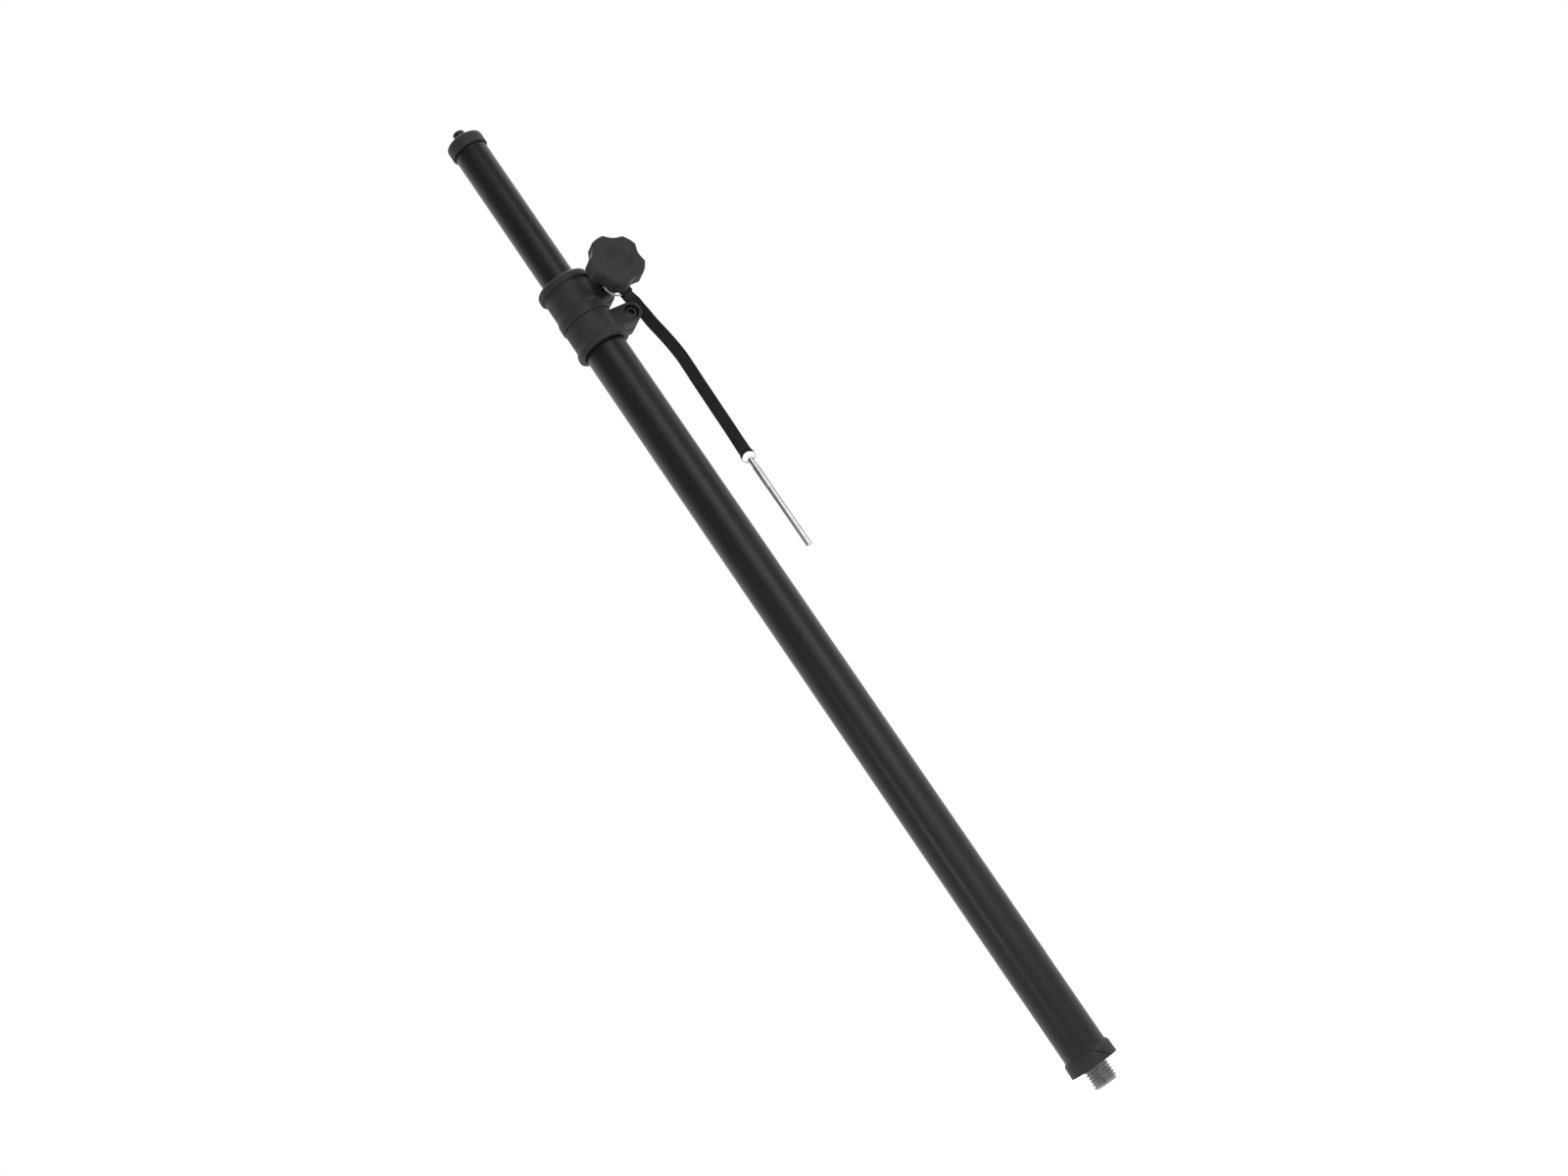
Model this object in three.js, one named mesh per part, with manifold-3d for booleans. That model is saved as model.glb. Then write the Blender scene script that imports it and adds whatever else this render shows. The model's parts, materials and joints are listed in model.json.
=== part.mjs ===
// A telescoping speaker pole, in millimetres. +Z runs up the pole, and the origin lies on its axis, in the
// plane of the foot's seat. +X is the side of the clamp slits, and -Y is the side of the knob.

import * as THREE from 'three';
import { mergeVertices } from 'three/addons/utils/BufferGeometryUtils.js';
import Module from 'manifold-3d';

const wasm = await Module();
wasm.setup();

// Clearances, and the facets of round shapes
const FIT_GAP = 0.3;
const CUT_OVERRUN = 2;
const TURN_SIDES = 32;
const SMALL_SIDES = 16;
const HEX_SIDES = 6;
const FILLET_STEPS = 3;

// Outer tube
const LOWER_TUBE_RADIUS = 17.5;
const LOWER_TUBE_WALL = 1.5;
const LOWER_TUBE_LENGTH = 698.5;

// Foot plug in the outer tube, and the threaded stud that it carries
const PLUG_FLANGE_HEIGHT = 2.2;
const PLUG_LENGTH = 32;
const PLUG_COUNTERSINK_DEPTH = 1;
const STUD_RADIUS = 10;
const STUD_THREAD_PITCH = 2.5;
const STUD_THREAD_DEPTH = 1.53;
const STUD_REACH = 15.4;
const STUD_CHAMFER = 1.4;
const STUD_SPIGOT_RADIUS = 8;
const STUD_SPIGOT_LENGTH = 26;
const STUD_SIDES = 20;
const STUD_RINGS_PER_TURN = 6;
const THREAD_FLANK_SHARES = [0.22, 0.86];

// Split sleeve round the foot
const SLEEVE_WALL = 1.8;
const SLEEVE_DRAFT = 0.3;
const SLEEVE_HEIGHT = 11.3;
const SLEEVE_RISE = 1.2;
const SLEEVE_CHAMFER_WIDTH = 1.1;
const SLEEVE_CHAMFER_HEIGHT = 1.8;
const SLEEVE_SLIT_WIDTH = 0.9;
const SLEEVE_SLIT_FOOT_ANGLE = THREE.MathUtils.degToRad(288);
const SLEEVE_SLIT_TURN = THREE.MathUtils.degToRad(-36);
const SLEEVE_LEVELS = 4;

// Inner tube, with its cross holes for the lock pin
const UPPER_TUBE_RADIUS = 14;
const UPPER_TUBE_WALL = 1.5;
const UPPER_TUBE_LENGTH = 689.1;
const SHOWN_LENGTH = 136.6;
const PIN_HOLE_RADIUS = 3.25;
const PIN_HOLE_PITCH = 55;
const PIN_HOLE_COUNT = 9;
const PIN_HOLE_DROP = 15.3;

// Guide bush in the outer tube's mouth
const BUSH_LENGTH = 61;
const BUSH_FLANGE_HEIGHT = 2;

// Glide on the inner tube's lower end, and its rivets
const GLIDE_HEIGHT = 9.7;
const GLIDE_SPIGOT_LENGTH = 14.3;
const GLIDE_BORE_RADIUS = 9;
const GLIDE_ROUNDING = 1.5;
const RIVET_HEIGHT = 4.2;
const RIVET_RADIUS = 1.5;
const RIVET_HEAD_RADIUS = 2.5;
const RIVET_HEAD_THICKNESS = 0.9;
const RIVET_LENGTH = 4.2;

// Cap, plug and stud at the top
const CAP_HEIGHT = 11.1;
const CAP_ROOF = 3.6;
const CAP_WALL = 1.3;
const CAP_ROUNDING = 2.2;
const TOP_PLUG_LENGTH = 26;
const TOP_STUD_RADIUS = 5;
const TOP_STUD_REACH = 9.2;
const TOP_STUD_CHAMFER = 1.6;
const TOP_STUD_DEPTH = 19.8;

// Clamp ring on the outer tube
const RING_RADIUS = 20.4;
const RING_HEIGHT = 26.4;
const RING_LIP_RADIUS = 22.6;
const RING_LIP_HEIGHT = 7;
const RING_LIP_ROUNDING = 3;
const RING_LIP_EDGE = 0.8;
const RING_SPIGOT_WALL = 1.2;
const SLIT_WIDTH = 1.6;
const LUG_RADIUS = 8.5;
const LUG_REACH = 31.8;
const LUG_HEIGHT = 15.2;
const NEAR_LUG_DEPTH = 14.5;
const FAR_LUG_DEPTH = 10;
const COUNTERBORE_RADIUS = 5.9;
const COUNTERBORE_DEPTH = 8.2;

// Clamp screw and its nut
const SCREW_RADIUS = 3;
const SCREW_HEAD_RADIUS = 5;
const SCREW_HEAD_HEIGHT = 6;
const SCREW_HEAD_CHAMFER = 0.5;
const SCREW_END = 12;
const SCREW_SOCKET_WIDTH = 5;
const SCREW_SOCKET_DEPTH = 3;
const CLAMP_NUT_WIDTH = 10;
const CLAMP_NUT_HEIGHT = 5;

// Collar housing over the tubes' joint
const HOUSING_RADIUS = 19.9;
const HOUSING_SOCKET_DEPTH = 14.9;
const HOUSING_MOUTH_DEPTH = 5.8;
const HOUSING_HEIGHT = 38.6;
const HOUSING_BORE_GAP = 0.4;
const SKIRT_RADIUS = 21.3;
const SKIRT_HEIGHT = 7.6;
const SKIRT_TAPER = 4;
const FLANGE_RADIUS = 22.5;
const FLANGE_HEIGHT = 7.1;
const FLANGE_ROUNDING = 3.6;
const EAR_BASE = 8.6;
const EAR_FLANGE_LAP = 2.2;
const EAR_DEPTH = 13;
const EAR_ROUNDING = 7.5;
const EAR_STUD_WALL = 3;
const EAR_NUT_WALL = 2.5;

// Knob, its stud, washer, nut and disc
const KNOB_REACH = 27.4;
const KNOB_HEIGHT = 19.4;
const KNOB_FACE = 48;
const KNOB_THICKNESS = 14.5;
const KNOB_RADIUS = 23;
const KNOB_SCALLOP_DEPTH = 3.15;
const KNOB_LOBES = 5;
const KNOB_STEPS_PER_LOBE = 14;
const KNOB_STEPS_PER_SCALLOP = 8;
const KNOB_TURN = THREE.MathUtils.degToRad(23.4);
const KNOB_EDGE_ROUNDING = 1.6;
const KNOB_BACK_ROUNDING = 1.2;
const KNOB_DISH_RADIUS = 13.6;
const KNOB_DISH_DEPTH = 1.8;
const KNOB_NECK_RADIUS = 4.2;
const KNOB_STUD_RADIUS = 4;
const KNOB_STUD_END = 16;
const KNOB_STUD_CHAMFER = 0.8;
const KNOB_ROOT_RADIUS = 3;
const KNOB_ROOT_LENGTH = 23;
const WASHER_RADIUS = 8;
const WASHER_THICKNESS = 1.6;
const KNOB_NUT_WIDTH = 13;
const KNOB_NUT_HEIGHT = 6.5;
const DISC_RADIUS = 9;
const DISC_THICKNESS = 1.2;
const DISC_DOME = 1.4;
const DISC_STEPS = 4;

// Upper split ring, which hangs round the knob's neck
const UPPER_RING_CENTRE = new THREE.Vector3(33.17, -17.13, 704.3);
const UPPER_RING_AXIS = new THREE.Vector3(0.049, -0.979, -0.197).normalize();
const UPPER_RING_RADIUS = 12;
const UPPER_RING_WIRE = 0.55;
const UPPER_RING_PITCH = 1.55;
const UPPER_RING_START = THREE.MathUtils.degToRad(100);

// Lower split ring, between the strap and the lock pin
const LOWER_RING_RADIUS = 5.75;
const LOWER_RING_WIRE = 0.45;
const LOWER_RING_PITCH = 1.35;
const LOWER_RING_START = THREE.MathUtils.degToRad(25);
const SPLIT_RING_TURNS = 1.9;
const SPLIT_RING_STEPS = 44;
const WIRE_SIDES = 6;

// Webbing strap: the eye round the upper ring, the hand-chosen route of its front layer down to the eye
// round the lower ring, and the folded ends behind it. ACROSS runs along its width.
const ACROSS = new THREE.Vector3(0.866, -0.5, 0).normalize();
const UPPER_EYE_TURN = THREE.MathUtils.degToRad(-72);
const UPPER_EYE_INSET = 0.4;
const STRAP_ROUTE = [
  [40.9, -9.5, 688.8], [43.9, -6.6, 685.4], [45.4, -4.5, 681.3], [46.3, -4.0, 676.6], [46.9, -3.9, 671.0],
  [47.55, -4.1, 664.1], [48.86, -4.8, 653.9], [50.09, -5.5, 642.0], [50.91, -6.0, 629.4],
  [50.78, -6.0, 616.8], [50.48, -5.8, 603.0], [50.27, -5.7, 588.5], [50.0, -5.6, 572.8],
  [49.8, -5.5, 557.0],
];
const LOWER_EYE_CENTRE = new THREE.Vector3(49.6, -4.9, 536.2);
const STRAP_WIDTH = 10;
const STRAP_THICKNESS = 1.2;
const STRAP_LAYER_GAP = 0.4;
const STRAP_TAIL = 9;
const UPPER_EYE_RADIUS = 2.35;
const LOWER_EYE_RADIUS = 2.15;
const EYE_NECK = 3.8;
const EYE_OPENING = THREE.MathUtils.degToRad(50);
const EYE_STEPS = 10;
const STRAP_STEP = 5.5;
const STRAP_TAIL_STEPS = 3;
const STRAP_TWIST_LENGTH = 30;
const STRAP_COLUMNS = 6;
const STRAP_FLARE_SHARE = 0.03;
const STRAP_FLARE_LENGTH = 11;

// Lock pin
const PIN_RADIUS = 3;
const PIN_LENGTH = 84.9;
const PIN_SHOULDER_RADIUS = 3.2;
const PIN_SHOULDER_HEIGHT = 20;
const PIN_NECK_RADIUS = 2.7;
const PIN_NECK_HEIGHT = 8.3;
const PIN_CHAMFER = 0.8;
const PIN_EYE_RADIUS = 1.5;
const PIN_EYE_DROP = 3.05;

// Places along the pole that follow from the sizes
const LOWER_TUBE_FOOT = PLUG_FLANGE_HEIGHT + FIT_GAP;
const LOWER_TUBE_TOP = LOWER_TUBE_FOOT + LOWER_TUBE_LENGTH;
const LOWER_BORE_RADIUS = LOWER_TUBE_RADIUS - LOWER_TUBE_WALL;
const BUSH_SEAT = LOWER_TUBE_TOP + FIT_GAP;
const HOUSING_STEP = BUSH_SEAT + BUSH_FLANGE_HEIGHT + FIT_GAP;
const HOUSING_FOOT = HOUSING_STEP - HOUSING_SOCKET_DEPTH;
const HOUSING_TOP = HOUSING_FOOT + HOUSING_HEIGHT;
const RING_TOP = HOUSING_FOOT - FIT_GAP;
const RING_FOOT = RING_TOP - RING_HEIGHT;
const LUG_AXIS = RING_FOOT + LUG_HEIGHT;
const KNOB_AXIS = HOUSING_FOOT + KNOB_HEIGHT;
const CAP_FOOT = HOUSING_TOP + SHOWN_LENGTH;
const CAP_TOP = CAP_FOOT + CAP_HEIGHT;
const UPPER_TUBE_TOP = CAP_TOP - CAP_ROOF - FIT_GAP;
const UPPER_TUBE_FOOT = UPPER_TUBE_TOP - UPPER_TUBE_LENGTH;
const UPPER_BORE_RADIUS = UPPER_TUBE_RADIUS - UPPER_TUBE_WALL;
const NEAR_EAR_REACH = KNOB_REACH + KNOB_STUD_RADIUS + FIT_GAP + EAR_STUD_WALL;
const FAR_EAR_REACH = KNOB_REACH + KNOB_NUT_WIDTH / 2 + FIT_GAP + EAR_NUT_WALL;
const WASHER_SEAT = EAR_DEPTH + FIT_GAP;
const KNOB_NECK_END = WASHER_SEAT + WASHER_THICKNESS + FIT_GAP;
const KNOB_ROOT_END = KNOB_NECK_END + KNOB_ROOT_LENGTH;
const UPPER_RING_SIDE = new THREE.Vector3(0, 0, 1).cross(UPPER_RING_AXIS).normalize();
const UPPER_RING_UP = UPPER_RING_AXIS.clone().cross(UPPER_RING_SIDE);
const UPPER_EYE_ACROSS = UPPER_RING_UP.clone().multiplyScalar(Math.cos(UPPER_EYE_TURN))
  .addScaledVector(UPPER_RING_SIDE, -Math.sin(UPPER_EYE_TURN));
const UPPER_EYE_REACH = UPPER_RING_RADIUS - UPPER_EYE_INSET;
const UPPER_EYE_CENTRE = UPPER_RING_CENTRE.clone()
  .addScaledVector(UPPER_RING_SIDE, UPPER_EYE_REACH * Math.cos(UPPER_EYE_TURN))
  .addScaledVector(UPPER_RING_UP, UPPER_EYE_REACH * Math.sin(UPPER_EYE_TURN));
const PIN_TOP = LOWER_EYE_CENTRE.z - LOWER_RING_RADIUS - LOWER_RING_RADIUS + PIN_EYE_DROP;

// Corner points [x, y, fillet radius] as a closed outline, with each fillet as an arc.
function rounded(corners) {
  const outline = [];
  corners.forEach(([x, y, radius = 0], index) => {
    const corner = new THREE.Vector2(x, y);
    if (radius === 0) {
      outline.push(corner);
      return;
    }
    const before = corners.at(index - 1);
    const after = corners[(index + 1) % corners.length];
    const toBefore = new THREE.Vector2(before[0], before[1]).sub(corner).normalize();
    const toAfter = new THREE.Vector2(after[0], after[1]).sub(corner).normalize();
    const halfAngle = Math.acos(toBefore.dot(toAfter)) / 2;
    const inset = radius / Math.tan(halfAngle);
    const centre = toBefore.clone().add(toAfter).setLength(radius / Math.sin(halfAngle)).add(corner);
    const start = toBefore.clone().multiplyScalar(inset).add(corner).sub(centre).angle();
    const end = toAfter.clone().multiplyScalar(inset).add(corner).sub(centre).angle();
    const sweep = THREE.MathUtils.euclideanModulo(end - start + Math.PI, 2 * Math.PI) - Math.PI;
    for (let step = 0; step <= FILLET_STEPS; step += 1) {
      const angle = start + (sweep * step) / FILLET_STEPS;
      const onArc = new THREE.Vector2(Math.cos(angle), Math.sin(angle)).multiplyScalar(radius);
      outline.push(onArc.add(centre));
    }
  });
  return outline;
}

// One closed body: shared vertices merged, flat triangles dropped and faces turned outwards.
function closedBody(geometry) {
  geometry.deleteAttribute('normal');
  geometry.deleteAttribute('uv');
  const merged = mergeVertices(geometry);
  const index = merged.index.array;
  const position = merged.attributes.position;
  const corners = [new THREE.Vector3(), new THREE.Vector3(), new THREE.Vector3()];
  const kept = [];
  let volume = 0;
  for (let first = 0; first < index.length; first += 3) {
    const [a, b, c] = index.slice(first, first + 3);
    if (a !== b && b !== c && c !== a) {
      kept.push([a, b, c]);
      corners.forEach((corner, k) => corner.fromBufferAttribute(position, [a, b, c][k]));
      volume += corners[0].dot(corners[1].cross(corners[2]));
    }
  }
  if (volume < 0) {
    kept.forEach((triangle) => triangle.reverse());
  }
  merged.setIndex(kept.flat());
  return merged;
}

// A turned piece from its outline in radius and height. An outline that starts on the axis is solid there.
function turned(corners, sides = TURN_SIDES) {
  const outline = rounded(corners);
  if (outline[0].x > 0) {
    outline.push(outline[0].clone());
  }
  return closedBody(new THREE.LatheGeometry(outline, sides).rotateX(Math.PI / 2));
}

// A solid rod of one radius between two heights.
function rod(radius, from, to, sides = TURN_SIDES) {
  return turned([[0, from], [radius, from], [radius, to], [0, to]], sides);
}

// A hexagonal bar between two heights, with flat sides towards +X and -X.
function hexBar(width, from, to) {
  return turned([[0, from], [width / Math.sqrt(3), from], [width / Math.sqrt(3), to], [0, to]], HEX_SIDES);
}

// A plate of an outline, between two heights.
function plate(shape, from, to) {
  const settings = { depth: to - from, bevelEnabled: false, curveSegments: 2 * FILLET_STEPS + 2 };
  return closedBody(new THREE.ExtrudeGeometry(shape, settings).translate(0, 0, from));
}

// A box between two corner points.
function block(low, high) {
  const size = high.map((value, axis) => value - low[axis]);
  const middle = high.map((value, axis) => (value + low[axis]) / 2);
  return closedBody(new THREE.BoxGeometry(...size).translate(...middle));
}

// Turns a shape made along +Z so that its height runs towards the knob, and places it in X and Z.
function towardsKnob(geometry, reach, height) {
  return geometry.rotateX(Math.PI / 2).translate(reach, 0, height);
}

// Triangles that close a ring of points, zipped between its first half and its second.
function capTriangles(count) {
  const triangles = [];
  let low = 0;
  let high = count - 1;
  while (high - low > 1) {
    triangles.push([low, low + 1, high]);
    low += 1;
    if (high - low > 1) {
      triangles.push([low, high - 1, high]);
      high -= 1;
    }
  }
  return triangles;
}

// Rings of points, each as long as the next, joined into a body and closed at both ends.
function lofted(rings) {
  const count = rings[0].length;
  const triangles = [];
  for (let ring = 0; ring + 1 < rings.length; ring += 1) {
    for (let side = 0; side < count; side += 1) {
      const next = (side + 1) % count;
      const low = ring * count;
      const high = low + count;
      triangles.push(low + side, low + next, high + next, low + side, high + next, high + side);
    }
  }
  const last = (rings.length - 1) * count;
  capTriangles(count).forEach((triangle) => {
    triangles.push(...triangle.map((index) => last + index));
    triangles.push(...triangle.reverse());
  });
  const vertices = rings.flat().flatMap((point) => point.toArray());
  const geometry = new THREE.BufferGeometry();
  geometry.setAttribute('position', new THREE.Float32BufferAttribute(vertices, 3));
  geometry.setIndex(triangles);
  return closedBody(geometry);
}

function toManifold(geometry) {
  const vertProperties = new Float32Array(geometry.attributes.position.array);
  const triVerts = new Uint32Array(geometry.index.array);
  return new wasm.Manifold(new wasm.Mesh({ numProp: 3, vertProperties, triVerts }));
}

// A base body with others joined to it, and then with others cut from it.
function carved(base, joined, cuts) {
  let body = toManifold(base);
  joined.forEach((piece) => {
    body = body.add(toManifold(piece));
  });
  cuts.forEach((piece) => {
    body = body.subtract(toManifold(piece));
  });
  const mesh = body.getMesh();
  const geometry = new THREE.BufferGeometry();
  geometry.setAttribute('position', new THREE.BufferAttribute(mesh.vertProperties, 3));
  geometry.setIndex(new THREE.BufferAttribute(mesh.triVerts, 1));
  return geometry;
}

function pointAt(radius, angle, height) {
  return new THREE.Vector3(radius * Math.cos(angle), radius * Math.sin(angle), height);
}

function lowerTube() {
  return turned([
    [LOWER_BORE_RADIUS, LOWER_TUBE_FOOT],
    [LOWER_TUBE_RADIUS, LOWER_TUBE_FOOT],
    [LOWER_TUBE_RADIUS, LOWER_TUBE_TOP],
    [LOWER_BORE_RADIUS, LOWER_TUBE_TOP],
  ]);
}

// The sleeve is one band that goes once round the foot, between the two slanted faces of its slit. Its rim
// falls from one side of the slit to the other.
function footSleeve() {
  const inner = LOWER_TUBE_RADIUS + FIT_GAP;
  const outer = inner + SLEEVE_WALL;
  const outerTop = outer - SLEEVE_DRAFT;
  const slitAngle = SLEEVE_SLIT_WIDTH / outer;
  const levels = Array.from({ length: SLEEVE_LEVELS + 1 }, (_, level) => level / SLEEVE_LEVELS);
  const rings = [];
  for (let step = 0; step <= TURN_SIDES; step += 1) {
    const share = step / TURN_SIDES;
    const rim = SLEEVE_HEIGHT + SLEEVE_RISE * (1 - share);
    const shoulder = rim - SLEEVE_CHAMFER_HEIGHT;
    const section = [
      ...levels.map((level) => [THREE.MathUtils.lerp(outer, outerTop, level), shoulder * level]),
      [outerTop - SLEEVE_CHAMFER_WIDTH, rim],
      [inner, rim],
      ...levels.toReversed().map((level) => [inner, shoulder * level]),
    ];
    rings.push(section.map(([radius, height]) => {
      const slit = SLEEVE_SLIT_FOOT_ANGLE + (SLEEVE_SLIT_TURN * height) / SLEEVE_HEIGHT;
      const angle = slit + slitAngle / 2 + share * (2 * Math.PI - slitAngle);
      return pointAt(radius, angle, height);
    }));
  }
  return lofted(rings);
}

// The plug's bore is countersunk round the stud's thread, so that its seat lies clear of it.
function footPlug() {
  const bore = STUD_SPIGOT_RADIUS + FIT_GAP;
  const body = LOWER_BORE_RADIUS - FIT_GAP;
  return turned([
    [bore, PLUG_COUNTERSINK_DEPTH],
    [STUD_RADIUS + FIT_GAP, 0],
    [LOWER_TUBE_RADIUS, 0],
    [LOWER_TUBE_RADIUS, PLUG_FLANGE_HEIGHT],
    [body, PLUG_FLANGE_HEIGHT],
    [body, PLUG_LENGTH],
    [bore, PLUG_LENGTH],
  ]);
}

// The stud's thread is right-handed: its crest climbs anticlockwise, seen from above.
function threadedStud() {
  const top = -FIT_GAP;
  const count = Math.round(((STUD_REACH + top) / STUD_THREAD_PITCH) * STUD_RINGS_PER_TURN);
  const root = STUD_RADIUS - STUD_THREAD_DEPTH;
  const [flankStart, flankEnd] = THREAD_FLANK_SHARES;
  const rings = [];
  for (let ring = 0; ring <= count; ring += 1) {
    const height = THREE.MathUtils.lerp(-STUD_REACH, top, ring / count);
    const chamfered = STUD_RADIUS - STUD_CHAMFER + (height + STUD_REACH);
    rings.push(Array.from({ length: STUD_SIDES }, (_, side) => {
      const turns = height / STUD_THREAD_PITCH - side / STUD_SIDES;
      const wave = Math.abs(2 * THREE.MathUtils.euclideanModulo(turns, 1) - 1);
      const crest = THREE.MathUtils.clamp((wave - flankStart) / (flankEnd - flankStart), 0, 1);
      const radius = Math.min(root + STUD_THREAD_DEPTH * crest, chamfered);
      return pointAt(radius, (2 * Math.PI * side) / STUD_SIDES, height);
    }));
  }
  [top, STUD_SPIGOT_LENGTH].forEach((height) => {
    rings.push(Array.from({ length: STUD_SIDES }, (_, side) => (
      pointAt(STUD_SPIGOT_RADIUS, (2 * Math.PI * side) / STUD_SIDES, height))));
  });
  return lofted(rings);
}

function guideBush() {
  const bore = UPPER_TUBE_RADIUS + FIT_GAP;
  const outer = LOWER_BORE_RADIUS - FIT_GAP;
  return turned([
    [bore, BUSH_SEAT - BUSH_LENGTH],
    [outer, BUSH_SEAT - BUSH_LENGTH],
    [outer, BUSH_SEAT],
    [LOWER_TUBE_RADIUS, BUSH_SEAT],
    [LOWER_TUBE_RADIUS, BUSH_SEAT + BUSH_FLANGE_HEIGHT],
    [bore, BUSH_SEAT + BUSH_FLANGE_HEIGHT],
  ]);
}

// The slot that splits a clamp on its +X side, between two heights.
function clampSlit(from, to) {
  const reach = FAR_EAR_REACH + LUG_REACH;
  return block([0, -SLIT_WIDTH / 2, from - CUT_OVERRUN], [reach, SLIT_WIDTH / 2, to + CUT_OVERRUN]);
}

function lugShape() {
  const shape = new THREE.Shape();
  shape.moveTo(0, -LUG_RADIUS);
  shape.lineTo(LUG_REACH, -LUG_RADIUS);
  shape.absarc(LUG_REACH, 0, LUG_RADIUS, -Math.PI / 2, Math.PI / 2, false);
  shape.lineTo(0, LUG_RADIUS);
  return shape;
}

function clampRing() {
  const spigot = LOWER_TUBE_RADIUS + FIT_GAP + RING_SPIGOT_WALL;
  const spigotTop = HOUSING_FOOT + HOUSING_MOUTH_DEPTH - FIT_GAP;
  const body = turned([
    [0, RING_FOOT],
    [RING_LIP_RADIUS, RING_FOOT, RING_LIP_EDGE],
    [RING_LIP_RADIUS, RING_FOOT + RING_LIP_HEIGHT, RING_LIP_ROUNDING],
    [RING_RADIUS - RING_SPIGOT_WALL, RING_FOOT + RING_LIP_HEIGHT],
    [RING_RADIUS, RING_FOOT + RING_LIP_HEIGHT + RING_SPIGOT_WALL],
    [RING_RADIUS, RING_TOP],
    [spigot, RING_TOP],
    [spigot, spigotTop],
    [0, spigotTop],
  ]);
  const nearLug = towardsKnob(plate(lugShape(), 0, NEAR_LUG_DEPTH), 0, LUG_AXIS);
  const farLug = towardsKnob(plate(lugShape(), -FAR_LUG_DEPTH, 0), 0, LUG_AXIS);
  const bore = rod(LOWER_TUBE_RADIUS + FIT_GAP, RING_FOOT - CUT_OVERRUN, spigotTop + CUT_OVERRUN);
  const screwHole = rod(SCREW_RADIUS + FIT_GAP, -FAR_LUG_DEPTH - CUT_OVERRUN, NEAR_LUG_DEPTH, SMALL_SIDES);
  const counterbore = rod(COUNTERBORE_RADIUS, NEAR_LUG_DEPTH - COUNTERBORE_DEPTH,
    NEAR_LUG_DEPTH + CUT_OVERRUN);
  const pocketFloor = CLAMP_NUT_HEIGHT + FIT_GAP - FAR_LUG_DEPTH;
  const pocket = hexBar(CLAMP_NUT_WIDTH + 2 * FIT_GAP, -FAR_LUG_DEPTH - CUT_OVERRUN, pocketFloor);
  const cuts = [screwHole, counterbore, pocket].map((cut) => towardsKnob(cut, LUG_REACH, LUG_AXIS));
  return carved(body, [nearLug, farLug], [bore, clampSlit(RING_FOOT, spigotTop), ...cuts]);
}

// The screw, nut and other pieces on a clamp's bolt are made along +Z, which runs towards the knob.
function clampScrew() {
  const seat = NEAR_LUG_DEPTH - COUNTERBORE_DEPTH + FIT_GAP;
  const top = seat + SCREW_HEAD_HEIGHT;
  const screw = turned([
    [0, -SCREW_END],
    [SCREW_RADIUS, -SCREW_END],
    [SCREW_RADIUS, seat],
    [SCREW_HEAD_RADIUS, seat],
    [SCREW_HEAD_RADIUS, top - SCREW_HEAD_CHAMFER],
    [SCREW_HEAD_RADIUS - SCREW_HEAD_CHAMFER, top],
    [0, top],
  ], SMALL_SIDES);
  const socket = hexBar(SCREW_SOCKET_WIDTH, top - SCREW_SOCKET_DEPTH, top + CUT_OVERRUN);
  return carved(screw, [], [socket]);
}

// A hexagonal nut whose outer face lies at a depth on the far side of the slit.
function nut(width, height, boltRadius, face) {
  const hole = rod(boltRadius + FIT_GAP, -face - CUT_OVERRUN, height - face + CUT_OVERRUN, SMALL_SIDES);
  return carved(hexBar(width, -face, height - face), [], [hole]);
}

function earShape(reach) {
  const top = HOUSING_HEIGHT - FLANGE_HEIGHT + EAR_FLANGE_LAP;
  return new THREE.Shape(rounded([
    [0, EAR_BASE],
    [reach, EAR_BASE, EAR_ROUNDING],
    [reach, top, EAR_ROUNDING],
    [0, top],
  ]));
}

function collarHousing() {
  const flangeFoot = HOUSING_TOP - FLANGE_HEIGHT;
  const skirtTop = HOUSING_FOOT + SKIRT_HEIGHT;
  const mouth = LOWER_TUBE_RADIUS + FIT_GAP + RING_SPIGOT_WALL + FIT_GAP;
  const body = turned([
    [0, HOUSING_FOOT],
    [SKIRT_RADIUS, HOUSING_FOOT],
    [SKIRT_RADIUS, skirtTop],
    [HOUSING_RADIUS, skirtTop + SKIRT_TAPER],
    [HOUSING_RADIUS, flangeFoot],
    [FLANGE_RADIUS, flangeFoot],
    [FLANGE_RADIUS, HOUSING_TOP, FLANGE_ROUNDING],
    [0, HOUSING_TOP],
  ]);
  const nearEar = towardsKnob(plate(earShape(NEAR_EAR_REACH), 0, EAR_DEPTH), 0, HOUSING_FOOT);
  const farEar = towardsKnob(plate(earShape(FAR_EAR_REACH), -EAR_DEPTH, 0), 0, HOUSING_FOOT);
  const bores = [
    rod(mouth, HOUSING_FOOT - CUT_OVERRUN, HOUSING_FOOT + HOUSING_MOUTH_DEPTH),
    rod(LOWER_TUBE_RADIUS + FIT_GAP, HOUSING_FOOT, HOUSING_STEP),
    rod(UPPER_TUBE_RADIUS + HOUSING_BORE_GAP, HOUSING_FOOT, HOUSING_TOP + CUT_OVERRUN),
  ];
  const studHole = rod(KNOB_STUD_RADIUS + FIT_GAP, -EAR_DEPTH, EAR_DEPTH + CUT_OVERRUN, SMALL_SIDES);
  const pocketFloor = KNOB_NUT_HEIGHT + 2 * FIT_GAP - EAR_DEPTH;
  const pocket = hexBar(KNOB_NUT_WIDTH + 2 * FIT_GAP, -EAR_DEPTH - CUT_OVERRUN, pocketFloor);
  const cuts = [studHole, pocket].map((cut) => towardsKnob(cut, KNOB_REACH, KNOB_AXIS));
  return carved(body, [nearEar, farEar], [...bores, clampSlit(HOUSING_FOOT, HOUSING_TOP), ...cuts]);
}

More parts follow.
